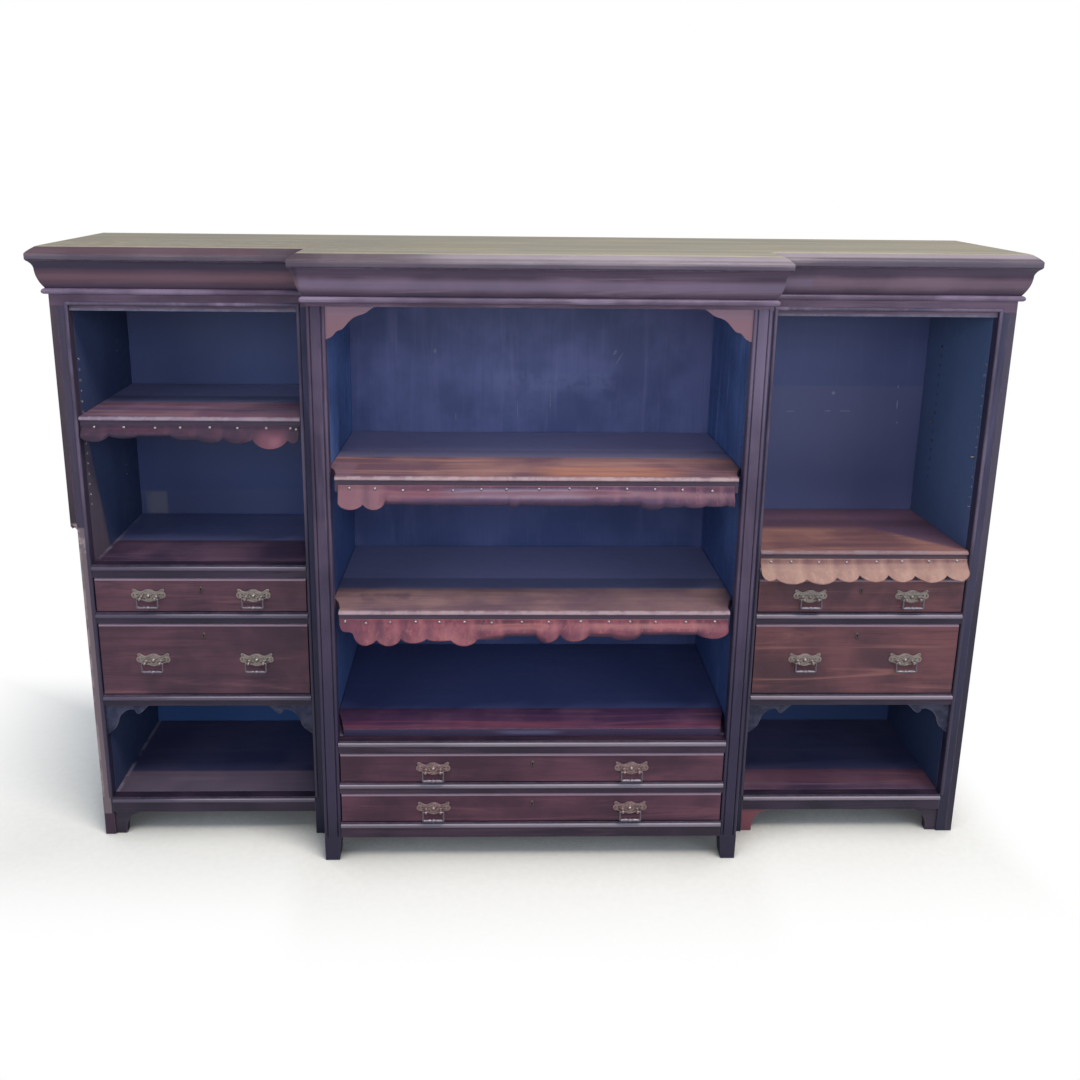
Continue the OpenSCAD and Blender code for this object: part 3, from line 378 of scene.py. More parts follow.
def dress_stiles():
    front, chipped = (-120, -80), (160, 142, 142)
    dress("centre_stiles", "stile_wood", ALONG_Z, (72, 59, 77), (50, 40, 58), (92, 77, 96), rough=0.4,
          wear=0.3, wear_tone=(112, 98, 116), figure=0.9, seed=8.0, areas=(
        # Painted light on the right stile's upper part; painted shade darker towards the bottom and at the
        # feet
        ((400, 520), None, (1130, 1420), (20, 1, 260), (108, 95, 116), 0.6),
        (None, None, (-50, 620), (1, 1, 260), (36, 31, 52), 0.8),
        (None, None, (-50, 110), (1, 1, 40), (27, 24, 42), 0.8)))
    dress("wing_stiles", "wing_stile_wood", ALONG_Z, (48, 45, 70), (30, 29, 53), (68, 64, 87), wear=0.4,
          seed=9.0, areas=(
        # Painted light on the outer stiles' upper parts; painted shade darker towards the bottom and at the
        # feet
        ((-1100, -1000), None, (700, 1400), 60, (60, 48, 60), 0.8),
        ((1000, 1100), None, (600, 1400), 100, (60, 56, 72), 0.6),
        (None, None, (-50, 700), (1, 1, 300), (32, 30, 46), 0.55),
        (None, None, (-50, 110), (1, 1, 40), (24, 22, 36), 0.6),
        ((-1092, -1066), front, (60, 836), 1.2, (104, 88, 92), 0.8),
        ((-1092, -1081), front, (110, 831), 1.2, chipped, 0.4, SPOTS),
        ((-1084, -1066), (-120, -100), (772, 812), 3, chipped, 0.7, SPOTS),
        ((-1092, -1050), front, (-5, 60), 4, (70, 40, 52), 0.6, STREAKS)))
    dress("outer_edge_strips", "strip_wood", ALONG_Z, (60, 48, 56), (44, 35, 43), (80, 66, 74), wear=0.4,
          wear_tone=(112, 98, 106), seed=10.0, areas=(
        # Painted light on the right strip's upper part and painted shade below it
        ((1080, 1110), None, (700, 1400), (1, 1, 150), (62, 57, 72), 0.7),
        ((1080, 1110), None, (-10, 700), (1, 1, 150), (32, 31, 46), 0.8),
        ((-1105, -1080), None, (820, 846), 3, (150, 126, 128), 0.8, SPOTS)))
    dress("opening_beads", "bead_wood", ALONG_Z, (88, 76, 94), (62, 54, 72), (112, 98, 118), rough=0.38,
          wear=0.3, wear_tone=(120, 108, 126), seed=11.0, areas=(
        # Painted shade on the beads beside the drawers
        (None, None, (0, 800), 40, (48, 42, 58), 0.9),))


def dress_back():
    left, right, inside, outside = (-1070, -520), (520, 1070), (200, 230), (230.5, 240)
    # The inside faces are painted navy for the shade and blue cast inside the case; the outside faces keep
    # the bare boards' own brown
    dress("back_boards", "back_wood", ALONG_Z, (95, 98, 140), (72, 78, 117), (116, 114, 154), rough=0.46,
          wear=0.1, figure=0.6, seed=12.0, areas=(
        # Painted shade: darker in the wings, low down and between the shelves
        (left, inside, None, 1, (64, 72, 107), 0.85),
        (left, inside, (300, 1080), 30, (42, 50, 84), 0.5),
        (right, inside, None, 1, (62, 68, 104), 0.85),
        (None, inside, (0, 960), 30, (50, 64, 104), 0.4),
        (None, inside, (0, 640), 30, (40, 58, 98), 0.6),
        ((-480, 480), inside, (560, 930), 30, (42, 55, 95), 0.5),
        (left, inside, (100, 320), (1, 1, 10), (46, 74, 120), 0.8),
        (right, inside, (100, 320), (1, 1, 10), (42, 60, 96), 0.75),
        (None, outside, None, 1, (112, 90, 72), 0.8),
        (None, outside, None, 1, (72, 56, 48), 0.6, STREAKS),
        # Painted light on the right wing's back above its deck, below the top's shadow line
        ((531, 1061), inside, (742, 1113), 2, (92, 86, 112), 0.35),
        ((-1061, -640), inside, (742, 812), (60, 1, 8), (84, 82, 108), 0.3),
        ((-1061, -990), inside, (742, 806), (4, 1, 6), (124, 116, 116), 0.45, STREAKS),
        ((-100, 222), inside, (1096, 1146), 12, (112, 116, 152), 0.3, SPOTS),
        ((-330, 330), inside, (1010, 1090), 30, (96, 98, 134), 0.3, STREAKS)))


def dress_decks():
    dusty, floor_z, corner_y, edge_z = (120, 112, 128), (60, 110), (-205, -170), (325, 335)
    dress("fixed_boards", "deck_wood", ALONG_X, (86, 64, 81), (57, 44, 64), (112, 87, 98), rough=0.4,
          wear=0.35, seed=13.0, areas=(
        # Painted shadow: navy over the rear of the wing decks and floors, behind where the light reaches
        (None, (40, 260), (700, 745), 5, (82, 89, 128), 0.88),
        (None, (-4, 260), floor_z, 7, (42, 50, 80), 0.9),
        ((-1070, -540), (-120, -4), floor_z, 4, (88, 80, 94), 0.6),
        ((540, 1070), (-120, -4), floor_z, 4, (92, 58, 66), 0.5, STREAKS),
        # The centre floor's front edge painted dark for its shade, with a painted highlight along its top
        # edge
        (None, (-225, -183), (300, 328.5), 1, (34, 29, 42), 0.92),
        (None, (-225, -197), edge_z, 1.5, (96, 86, 98), 0.5),
        ((-482, -430), corner_y, edge_z, 4, dusty, 0.7, SPOTS),
        ((430, 482), corner_y, edge_z, 4, dusty, 0.7, SPOTS),
        ((-1063, -1052), (-110, 225), None, 2, dusty, 0.6, SPOTS)))
    raw = wood("raw_wood", ALONG_X, (140, 112, 92), (104, 80, 64), (168, 140, 116), rough=0.7, wear=0.1,
               polish=0.2, seed=14.0)
    assign("dust_boards", raw)
    assign("drawer_guides", raw)


def dress_rails():
    """The rails' flat parts are dark; their beads' fronts are paler, painted lighter towards the right where
    the light falls and darker at the wing rails' left end, with a painted highlight on their upward-facing
    side.
    """
    look = {"rough": 0.36, "wear": 0.4, "wear_tone": (120, 108, 132)}
    wing, centre = (-120, -109.2), (-215, -204.2)
    dress("wing_rails", "wing_rail_wood", ALONG_X, (46, 34, 50), (30, 24, 38), (63, 48, 62), seed=15.0,
          crest=((-900, 1200), (-120, -108.4), (150, 138, 148), 0.75), **look, areas=(
        (None, wing, None, 0.8, (86, 76, 90), 0.8),
        # Painted light on the right-hand beads and painted shade over the left end
        ((520, 1070), wing, None, 0.8, (124, 110, 118), 0.6),
        ((-1070, -900), wing, None, (20, 0.8, 1), (66, 56, 72), 0.6)))
    dress("centre_rails", "centre_rail_wood", ALONG_X, (49, 33, 48), (32, 23, 37), (68, 48, 62), seed=16.0,
          crest=(None, (-215, -203.4), (150, 140, 148), 0.75), **look, areas=(
        (None, centre, None, 0.8, (98, 88, 97), 0.8),
        # Painted light on the right-hand beads
        ((-200, 482), centre, None, (60, 0.8, 1), (116, 105, 114), 0.6)))


def dress_brackets():
    # The brackets' navy-dark base is painted shade; the upper ones are painted in the wood's lit pink-brown
    dress("corner_brackets", "bracket_wood", ALONG_X, (27, 31, 54), (20, 23, 42), (38, 42, 64), wear=0.6,
          seed=17.0, areas=(
        (None, None, (1200, 1400), 1, (116, 84, 92), 0.85),
        (None, None, (1366, 1400), 6, (116, 92, 104), 0.5),
        (None, None, (300, 370), 1, (62, 62, 80), 0.45, SPOTS)))
    dress("foot_brackets", "foot_wood", ALONG_X, (54, 44, 56), (36, 30, 42), (76, 60, 70), rough=0.45,
          wear=0.6, seed=18.0, areas=(
        ((540, 640), None, None, 2, (110, 62, 70), 0.8),))
    assign("shelf_pegs", metal("peg_brass", (126, 120, 118), (74, 68, 68), (188, 182, 176)))


# Woods of the shelves and drawers

def dress_shelf(name, base, dark, light, front, top, line, rear, nose, extra, soft=2.5):
    """A shelf board: worn top, painted shadow behind a line, a thin nosing rubbed pale and painted with a
    highlight, and a lip painted dark for the shade under the nosing.

    Front is the y of its face, top the z of its top there, line the y behind which its painted shadow starts."""
    lip = front - 9
    dress(name + "_shelf", name + "_shelf_wood", ALONG_X, base, dark, light, rough=0.5, figure=1.2, wear=0.35,
          seed=top * 0.013, areas=(
        *extra,
        # Painted shadow behind the line, darkest just behind it; the lip painted dark for the shade under the
        # nosing; the nosing rubbed pale with a painted highlight
        (None, (line, 260), (top - 40, top + 6), soft, rear, 0.9),
        (None, (line, line + 62), (top - 40, top + 6), soft, [0.72 * c for c in rear], 0.7),
        (None, (lip, front + 20), (top - 60, top - 8.5), 1.5, (48, 38, 52), 0.9),
        (None, (lip, front + 7), (top - 8.5, top + 6), 2, nose, 0.6, SPOTS),
        (None, (lip, front + 2.5), (top - 8, top + 6), 1.5, nose, 0.5)))


def dress_shelves():
    left_z, right_z, upper_z, lower_z = (1100, 1115), (770, 785), (980, 1004), (650, 674)
    dress_shelf("left", (116, 93, 113), (87, 68, 92), (142, 116, 121), WING_Y, 1109.6, 28, (112, 112, 148),
                (138, 122, 130), (
        ((-1061, -549), (-107, 30), left_z, 10, (144, 96, 104), 0.5, STREAKS),
        ((-1061, -800), (-107, -40), left_z, 20, (156, 124, 122), 0.5, STREAKS)))
    dress_shelf("right", (135, 96, 91), (99, 70, 75), (169, 122, 99), WING_Y, 779.6, 64, (92, 68, 88),
                (124, 108, 114), (
        ((549, 1061), (-107, 10), right_z, 24, (160, 112, 104), 0.5, STREAKS),
        # Painted shadow of the right end panel, behind a slanting line
        ((860, 1070), (-90, 260), (700, 785), 16, (70, 56, 84), 0.85, None, (1, 0, -1.0, 950))), soft=22)
    dress_shelf("upper", (151, 112, 110), (111, 82, 92), (177, 130, 115), FACE_Y, 999.9, -34, (136, 132, 168),
                (158, 136, 138), (
        ((20, 320), (-196, -120), upper_z, (60, 10, 3), (188, 126, 98), 0.6, STREAKS),
        ((-470, -420), (-196, -90), upper_z, 8, (136, 104, 118), 0.5)))
    dress_shelf("lower", (143, 112, 111), (105, 82, 93), (162, 127, 118), FACE_Y, 669.7, -68, (110, 112, 150),
                (152, 130, 134), (
        ((120, 470), (-196, -110), lower_z, 20, (120, 98, 96), 0.6, SPOTS),
        ((-420, -300), (-140, -100), lower_z, 6, (86, 62, 78), 0.5, SPOTS)))
    edge = (-190, -182.2)
    dress("loose_shelf", "loose_shelf_wood", ALONG_X, (84, 57, 80), (59, 38, 65), (114, 77, 89), rough=0.4,
          wear=0.7, wear_tone=(118, 90, 104), seed=19.0, areas=(
        # The lit front painted redder, painted navy shadow behind it, and the front edge painted dark for its
        # shade
        (None, (-184, -150), (330, 356), 3, (128, 66, 76), 0.4, STREAKS),
        (None, (-97, 260), (349, 356), 3, (56, 66, 106), 0.92),
        (None, edge, None, (1, 0.6, 1), (42, 38, 60), 0.88),
        ((-80, 60), edge, (336, 346), (30, 0.6, 4), (84, 82, 108), 0.6, STREAKS)))


def dress_drawers():
    raw = wood("drawer_raw_wood", ALONG_X, (146, 118, 96), (108, 84, 66), (172, 146, 120), rough=0.7,
               wear=0.1, polish=0.2, seed=20.0)
    tones = {
        "left": ((80, 50, 60), (54, 34, 46), (98, 64, 70)),
        "right": ((92, 56, 60), (62, 38, 46), (112, 72, 70)),
        "centre": ((77, 45, 58), (50, 28, 42), (92, 56, 66)),
    }
    for n, (name, (_, _, floor, height, _, _)) in enumerate(DRAWERS.items()):
        top = floor + height
        dress(name + "_front", name + "_front_wood", ALONG_X, *tones[name.split("_")[0]], figure=1.3,
              wear=0.35, wear_tone=(118, 98, 110), wear_width=2.0, seed=21.0 + 1.7 * n,
              # Painted highlight along each front's top edge
              areas=((None, None, (top - 8, top), 0.8, (138, 114, 126), 0.75),))
        assign(name + "_box", raw)


# Forms: each gives points and faces, in millimetres

def circle(count):
    """The cosine and sine of each of count even steps round a circle."""
    turns = [2 * math.pi * k / count for k in range(count)]
    return [(math.cos(a), math.sin(a)) for a in turns]


def ring_faces(rings, count):
    """Four-sided faces between rings of count points that follow each other."""
    faces = []
    for i in range(rings - 1):
        for k in range(count):
            a, b = i * count + k, i * count + (k + 1) % count
            faces.append((a, b, b + count, a + count))
    return faces


def lathe(profile, count, closed=True):
    """A form turned about the -Y axis; profile is (radius, distance out)."""
    points = [(r * c, -out, r * s) for r, out in profile for c, s in circle(count)]
    faces = ring_faces(len(profile), count)
    if closed:
        faces.append(tuple(range(count - 1, -1, -1)))
        faces.append(tuple(range(len(points) - count, len(points))))
    return points, faces


def tube(path, radii, count):
    """A round bar along a path that runs mostly in x and z."""
    path, side, points = [Vector(p) for p in path], Vector((0, 1, 0)), []
    for i, (p, r) in enumerate(zip(path, radii)):
        ahead = (path[min(i + 1, len(path) - 1)] - path[max(i - 1, 0)]).normalized()
        across = ahead.cross(side).normalized()
        points += [p + across * (r * c) + side * (r * s) for c, s in circle(count)]
    faces = [(a, d, c, b) for a, b, c, d in ring_faces(len(path), count)]
    faces.append(tuple(range(count)))
    faces.append(tuple(range(len(points) - 1, len(points) - count - 1, -1)))
    return points, faces


def box(xs, ys, zs):
    points = [(x, y, z) for x in xs for y in ys for z in zs]
    return points, [(0, 1, 3, 2), (4, 6, 7, 5), (0, 4, 5, 1), (2, 3, 7, 6), (0, 2, 6, 4), (1, 5, 7, 3)]


def joined(*forms):
    """One form from several, each given as (form, place) or (form, place, turn)."""
    points, faces = [], []
    for (corners, sides), place, *turn in forms:
        faces += [tuple(len(points) + i for i in side) for side in sides]
        points += [(turn[0] @ Vector(p) if turn else Vector(p)) + Vector(place) for p in corners]
    return points, faces


def mesh_piece(name, form, material, smooth=True):
    points, faces = form
    data = bpy.data.meshes.new(name)
    data.from_pydata([tuple(p * MM) for p in points], [], faces)
    data.validate()
    data.materials.append(material)
    if smooth:
        data.polygons.foreach_set("use_smooth", [True] * len(data.polygons))
    return new_object(name, data)


# Brass handles, in x and z from the plate's middle

# Half outline of the back plate from its top middle to its bottom middle, in millimetres
PLATE_HALF = [
    (0, 16.0), (4, 15.8), (8, 14.6), (11.5, 12.4), (14.5, 10.8), (18, 10.0), (21.5, 10.2), (25, 11.4),
    (28, 13.4), (31, 15.6), (34.5, 17.0), (37.4, 16.4), (38.8, 13.8), (37.6, 11.4), (36.2, 10.2),
    (36.2, 8.4), (39, 6.6), (41, 3.4), (41, -0.6), (39.2, -4.0), (36.6, -6.4), (33.6, -7.4), (31.4, -6.2),
    (29.4, -7.8), (26, -9.6), (22.5, -10.2), (19.5, -12.0), (16, -13.2), (12, -13.4), (9, -15.0),
    (5.5, -16.4), (2.4, -17.0), (0, -17.0),
]
PLATE_HOLES = [
    [(8.2, 3.4), (12.8, 4.4), (12.4, 0.6), (9.4, -1.0)],
    [(7.4, -6.6), (12.2, -5.4), (13.2, -9.0), (9.0, -11.0)],
    [(23.4, 1.8), (28.0, 5.4), (30.4, 2.2), (26.2, -0.8)],
    [(23.0, -4.2), (28.4, -3.6), (28.6, -6.6), (24.0, -7.2)],
    [(31.8, 11.4), (34.2, 13.6), (35.4, 12.0), (33.2, 9.8)],
    [(33.4, 4.4), (36.6, 4.6), (37.0, 0.8), (34.0, -0.4)],
]
# The raised ribs follow the outline up to RIB_END and from LOW_START on
RIB_END, LOW_START, PLATE_EDGE = 11, 17, 0.5


def rounded(corners, steps=4):
    """A closed ring through the corners' middles, with each corner drawn as a soft curve."""
    ring = []
    for i, b in enumerate(corners):
        a, c = corners[i - 1], corners[(i + 1) % len(corners)]
        p, q = [(a[k] + b[k]) / 2 for k in (0, 1)], [(b[k] + c[k]) / 2 for k in (0, 1)]
        for j in range(steps):
            t = j / steps
            ring.append([(1 - t) ** 2 * p[k] + 2 * t * (1 - t) * b[k] + t * t * q[k] for k in (0, 1)])
    return ring


def pierced_plate():
    """The back plate: outline and pierced holes, with rounded edges."""
    curve = bpy.data.curves.new("plate", "CURVE")
    curve.dimensions = "2D"
    curve.fill_mode = "BOTH"
    curve.extrude = (PLATE_T / 2 - PLATE_EDGE) * MM
    curve.bevel_depth = PLATE_EDGE * MM
    curve.bevel_resolution = 1
    rings = [PLATE_HALF + [(-x, z) for x, z in PLATE_HALF[-2:0:-1]]]
    for hole in PLATE_HOLES:
        rings.append(rounded(hole))
        rings.append([(-x, z) for x, z in rounded(hole)][::-1])
    for ring in rings:
        line = curve.splines.new("POLY")
        line.points.add(len(ring) - 1)
        for point, (x, z) in zip(line.points, ring):
            point.co = (x * MM, z * MM, 0, 1)
        line.use_cyclic_u = True
    flat = new_object("plate_curve", curve)
    bpy.context.view_layer.update()
    mesh = bpy.data.meshes.new_from_object(flat.evaluated_get(bpy.context.evaluated_depsgraph_get()))
    bpy.data.objects.remove(flat)
    # The curve lies in x and y: stand it up, with its front towards -Y
    points = [Vector((v.co.x, -(v.co.z + PLATE_T / 2 * MM), v.co.y)) / MM for v in mesh.vertices]
    faces = [tuple(f.vertices) for f in mesh.polygons]
    bpy.data.meshes.remove(mesh)
    return points, faces


def handle_form():
    """A back plate with its boss, raised ribs, curled tips and the two posts that carry the bail."""
    t, middle, curl_points = PLATE_T, (0, 0, 0), 13
    boss = lathe([(7.0, t - 0.1), (7.0, t + 0.7), (6.0, t + 1.3), (4.9, t + 1.2), (4.5, t + 2.2),
                  (3.9, t + 3.6), (2.8, t + 4.7), (1.4, t + 5.2), (0.1, t + 5.3)], 20)
    post = lathe([(4.8, t - 0.1), (4.8, t + 0.8), (3.0, t + 1.8), (2.7, 6.6), (3.4, 8.0), (POST_R, 9.4),
                  (POST_R + 0.1, PIVOT_OUT), (POST_R, 14.2), (2.6, 15.4), (0.1, 15.8)], 18)
    forms = [(pierced_plate(), middle), (boss, middle)]
    upper_rib = [(x * 0.9, z * 0.86 - 0.4) for x, z in PLATE_HALF[:RIB_END]]
    lower_rib = [(x * 0.9, z * 0.88) for x, z in PLATE_HALF[LOW_START:]]
    for line in (upper_rib, lower_rib):
        for side in (-1, 1):
            forms.append((tube([(side * x, -t, z) for x, z in line], [0.75] * len(line), 8), middle))
    for side in (-1, 1):
        curl = []
        for k in range(curl_points):
            r, a = 3.0 * (1 - k / (curl_points + 1)), 0.55 * k
            curl.append((side * (34.6 + r * math.cos(a)), -t, 12.6 + r * math.sin(a)))
        forms.append((tube(curl, [0.8 - 0.03 * k for k in range(curl_points)], 8), middle))
        forms.append((post, (side * POST_X, 0, -PIVOT_DROP)))
    return joined(*forms)


def key_form():
    """An oval keyhole plate with a raised rim, open where the key goes in."""
    around = circle(24)
    outer = [(5.5 * x, -0.1, 9.0 * z) for x, z in around]
    rim = [(4.8 * x, -1.5, 8.2 * z) for x, z in around]
    inner = [(1.9 * x, -1.1, 2.4 + 1.9 * z) if z > -0.2 else (math.copysign(0.95, x), -1.1, 2.4 + 6.6 * z)
             for x, z in around]
    return outer + rim + inner, ring_faces(3, len(around))


def bail_form():
    """A squared bail with a swelling grip and a bead in its middle, drawn from (x, y, z, radius)."""
    half = [
        (POST_X - POST_R + 0.4, 0, 0, 1.9), (POST_X, 0, 0, 1.9), (22.6, 0, 0, 1.9), (24.4, 0, -0.6, 2.2),
        (25.2, 0, -2.6, 2.4), (25.0, -0.2, -6, 2.1), (24.6, -0.4, -11, 2.1), (25.0, -0.4, -16, 2.5),
        (25.2, -0.2, -19.6, 3.0), (24.0, 0, -22.2, 3.3), (21.2, 0, -23.2, 3.3), (17, 0, -23.0, 3.3),
        (12, 0, -22.8, 3.7), (8, 0, -22.8, 3.8), (5.6, 0, -22.9, 3.0), (4.2, 0, -23, 3.0), (2.6, 0, -23, 4.3),
        (0, 0, -23, 4.6),
    ]
    line = half + [(-x, y, z, r) for x, y, z, r in half[-2::-1]]
    return tube([p[:3] for p in line], [p[3] for p in line], 14)


def soften(piece):
    """Smooth shading that keeps edges sharper than 40 degrees."""
    edges = piece.modifiers.new("edges", "EDGE_SPLIT")
    edges.split_angle = math.radians(40)


def make_handles():
    cool = metal("plate_brass", (98, 87, 85), (34, 28, 34), (184, 170, 160), 0.42)
    warm = metal("warm_plate_brass", (104, 84, 86), (38, 28, 36), (180, 152, 148), 0.42)
    bright = metal("bail_brass", (62, 54, 60), (32, 27, 34), (142, 132, 142), 0.46)
    dull = metal("keyhole_brass", (66, 50, 54), (40, 30, 36), (112, 96, 96), 0.5)
    # The keyholes are near-black discs and slots: painted shade for the hollow of each hole
    hollow = plain("keyhole_dark", (18, 14, 18))
    handle, key, bail = handle_form(), key_form(), bail_form()
    lock = box((-32, 32), (20, 29), (-22, 12))
    key_hole = lathe([(2.0, 0.05), (2.0, 0.4), (0.1, 0.4)], 16)
    key_slot = box((-1.0, 1.0), (-0.4, -0.05), (-4.4, 2.0))
    for name, (cx, face, floor, height, reach, key_z) in DRAWERS.items():
        y, low = face + FRONT_SET, floor + RUN_GAP
        middle, key_at = low + (height - RUN_GAP - TOP_GAP) / 2, (cx, y, low + key_z)
        plates = joined((handle, (cx - reach, y, middle)), (handle, (cx + reach, y, middle)), (lock, key_at))
        brass = mesh_piece(name + "_handles", plates, warm if name.startswith("centre") else cool)
        soften(brass)
        rim = mesh_piece(name + "_keyplate", joined((key, key_at)), dull)
        hole = joined((key_hole, (cx, y, low + key_z + 2.4)), (key_slot, key_at))
        dark = mesh_piece(name + "_keyhole", hole, hollow, smooth=False)
        for piece in (brass, rim, dark):
            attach(piece, name + "_drawer")
        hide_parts(name + "_brass")
        for tag, side in (("a", -1), ("b", 1)):
            pivot = (cx + side * reach, y - PIVOT_OUT, middle - PIVOT_DROP)
            swing = mesh_piece("%s_grip_%s" % (name, tag), joined((bail, pivot)), bright)
            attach(swing, "%s_bail_%s" % (name, tag))
            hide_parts("%s_bail_%s" % (name, tag))


# Leather edgings

# Seat of the leather on the lip, and of a shelf on its pegs
LEATHER_TOP, JOINT, PEG_SEAT, RIGHT_SHELF_Z = 21, 0.1, 2.8, 742.3
CENTRE_TILT = math.atan2(REAR_DROP, REAR_PEG_Y - CENTRE_PEG_Y)
RIGHT_TILT = math.atan2(LIP_H - BOARD_T, WING_SHELF_D - LIP_SET - LIP_T)
# The leather's middle stays LIP_GAP in front of the lip, down to LIP_BOTTOM
LIP_GAP, LIP_BOTTOM, LEATHER_T = 0.9, 18, 1.5
# Width of a column, rows down the leather, steps in each row, and steps of a trial line
COLUMN_STEP, ROWS, ROW_STEPS, TRIAL_STEPS = 2.6, 22, 4, 44


def trim_place(name):
    """Matrix from an edging's own millimetres to the frame's: x along, y back, z up from its upper edge."""
    drop = Matrix.Translation((0, -JOINT, BOARD_T - LEATHER_TOP))
    if name == "right":
        return (Matrix.Translation((0, WING_Y + LIP_SET + LIP_T, RIGHT_SHELF_Z))
                @ Matrix.Rotation(-RIGHT_TILT, 4, "X")
                @ Matrix.Translation((0, -LIP_T, LIP_H - BOARD_T)) @ drop)
    z = PEG_Z0 + PEG_ROWS[name] * PEG_PITCH
    if name == "left":
        return Matrix.Translation((0, WING_Y + LIP_SET, z + PEG_SEAT)) @ drop
    return (Matrix.Translation((0, CENTRE_PEG_Y, z + CENTRE_PEG_UP)) @ Matrix.Rotation(-CENTRE_TILT, 4, "X")
            @ Matrix.Translation((0, LIP_SET + FACE_Y - CENTRE_PEG_Y, PEG_SEAT)) @ drop)


def ease(t):
    t = min(1.0, max(0.0, t))
    return t * t * (3 - 2 * t)


def between(keys, x):
    """Smoothly interpolated values of keys, each (x, value, ...)."""
    if x <= keys[0][0]:
        return keys[0][1:]
    for a, b in zip(keys, keys[1:]):
        if x <= b[0]:
            t = ease((x - a[0]) / (b[0] - a[0]))
            return tuple(p + (q - p) * t for p, q in zip(a[1:], b[1:]))
    return keys[-1][1:]


# Each edging in its own millimetres and in degrees, as it is seen from the front:
# edge has the cusps of the lower edge (x, drop), lobes the drop of each scallop between two cusps.
# A form is (x, lean, curl, onset): below the tacks the leather leans out by lean, and from onset
# on it turns by curl, forwards where that is above 0 and back under itself below 0.
# Sight is the slope at which the camera looks down at it, and plane the distance in front of
# the lip at which the drops hold.
TRIMS = {
    "upper": {
        "sight": 0.382, "plane": 16,
        "edge": [(-451, 37), (-394, 39), (-345, 38), (-303, 38), (-247, 39), (-190, 40), (-120, 40),
            (-66, 39), (-39, 39), (3, 40), (60, 41), (130, 39), (190, 38), (235, 39), (290, 42), (333, 40),
            (383, 41), (432, 38), (450, 45)],
        "lobes": [54, 54, 39, 40.5, 41, 41.5, 41.5, 46, 41, 42, 42.5, 41, 40, 50, 45, 46, 43, 42],
        "form": [(-451, 16, 4, 24), (-360, 18, 6, 24), (-330, 62, -150, 14), (-230, 66, -165, 13),
            (-60, 72, -178, 13), (90, 70, -172, 13), (190, 60, -150, 14), (240, 46, -95, 16),
            (330, 40, -70, 18), (450, 34, -48, 18)],
        "tacks": [(-425, 7), (-367, 8), (-304, 12), (-247, 12), (-191, 12), (-127, 9), (-70, 9), (4, 8),
            (73, 6.5), (135, 6), (204, 7), (268, 8), (331, 9), (399, 11)],
    },
    "lower": {
        "sight": 0.548, "plane": 16,
        "edge": [(-456, 10), (-423, 33), (-369, 43), (-313, 40), (-254, 41), (-195, 46), (-136, 44),
            (-70, 34), (2, 32), (58, 27), (124, 34), (180, 35), (249, 30), (320, 28), (383, 29), (455, 23)],
        "lobes": [24, 59, 60, 53, 48, 60, 43, 33, 51, 49, 35, 44, 30, 30, 41],
        "form": [(-456, 6, 4, 20), (-424, 14, 6, 20), (-398, 20, 6, 20), (-262, 22, 4, 20), (-205, 26, 8, 16),
            (-165, 22, 6, 20), (-120, 44, -60, 14), (-60, 62, -140, 12), (10, 60, -130, 12),
            (36, 30, -30, 18), (110, 28, -20, 20), (150, 52, -110, 14), (200, 44, -80, 15),
            (260, 52, -105, 14), (370, 54, -105, 14), (410, 34, -34, 18), (455, 30, -24, 18)],
        "tacks": [(-443, 5), (-395, 9), (-339, 7), (-279, 6), (-224, 6.5), (-165, 6.5), (-102, 8), (-31, 6.5),
            (32, 6.5), (107, 5), (173, 5.5), (223, 5.5), (283, 6), (355, 6), (423, 5)],
    },
    "left": {
        "sight": 0.306, "plane": 12,
        "edge": [(-1057, 26), (-993, 22), (-924, 22), (-850, 22), (-786, 30), (-728, 26), (-660, 29),
            (-578, 29), (-553, 27)],
        "lobes": [37, 28, 23, 33, 39, 40, 54, 40],
        "form": [(-1057, 34, -40, 16), (-1010, 34, -40, 16), (-975, 58, -140, 13), (-900, 58, -140, 13),
            (-840, 46, -90, 15), (-760, 36, -50, 16), (-690, 34, -40, 16), (-650, 24, 0, 20),
            (-610, 24, 6, 20), (-575, 22, 8, 20), (-553, 22, 8, 20)],
        "tacks": [(-1026, 4.5), (-958, 5), (-886, 6), (-828, 5), (-760, 4.5), (-696, 5.5), (-629, 5.5),
            (-573, 5.5), (-560, 8)],
    },
    "right": {
        "sight": 0.471, "plane": 20,
        "edge": [(551, 30), (585, 44), (657, 45), (733, 40), (789, 32), (859, 32), (923, 34), (1001, 33),
            (1059, 26)],
        "lobes": [51, 59, 59, 53, 53, 53, 54, 50],
        "form": [(551, 38, 4, 20), (586, 38, 4, 20), (620, 37, 2, 20), (780, 36, 2, 20), (900, 36, 6, 20),
            (1059, 36, 8, 20)],
        "tacks": [(576, 8), (626, 8), (694, 9), (762, 9), (835, 7.5), (898, 6), (964, 5.5), (1033, 4.5)],
    },
}


def outline(spec, x):
    """How far the lower edge hangs at x, as seen from the front."""
    edge = spec["edge"]
    k = max(n for n in range(len(edge) - 1) if x >= edge[n][0] - 1e-6)
    f = (x - edge[k][0]) / (edge[k + 1][0] - edge[k][0])
    cusp = edge[k][1] + (edge[k + 1][1] - edge[k][1]) * f
    return cusp + (spec["lobes"][k] - cusp) * max(0.0, math.sin(math.pi * f)) ** 0.6


def hang(length, lean, curl, onset, start, steps):
    """The leather's line from its upper edge down: points (y, z) at even distances."""
    y, z, line = -LIP_GAP, 0.0, [(-LIP_GAP, 0.0)]
    ds, bend = length / steps, start + onset - 5
    for j in range(steps):
        s = (j + 0.5) * ds
        turn = lean * ease((s - start) / 9) + curl * ease((s - bend) / max(6.0, length - bend))
        y -= math.sin(math.radians(turn)) * ds
        z -= math.cos(math.radians(turn)) * ds
        if z > -LIP_BOTTOM:
            y = min(y, -LIP_GAP)
        line.append((y, z))
    return line


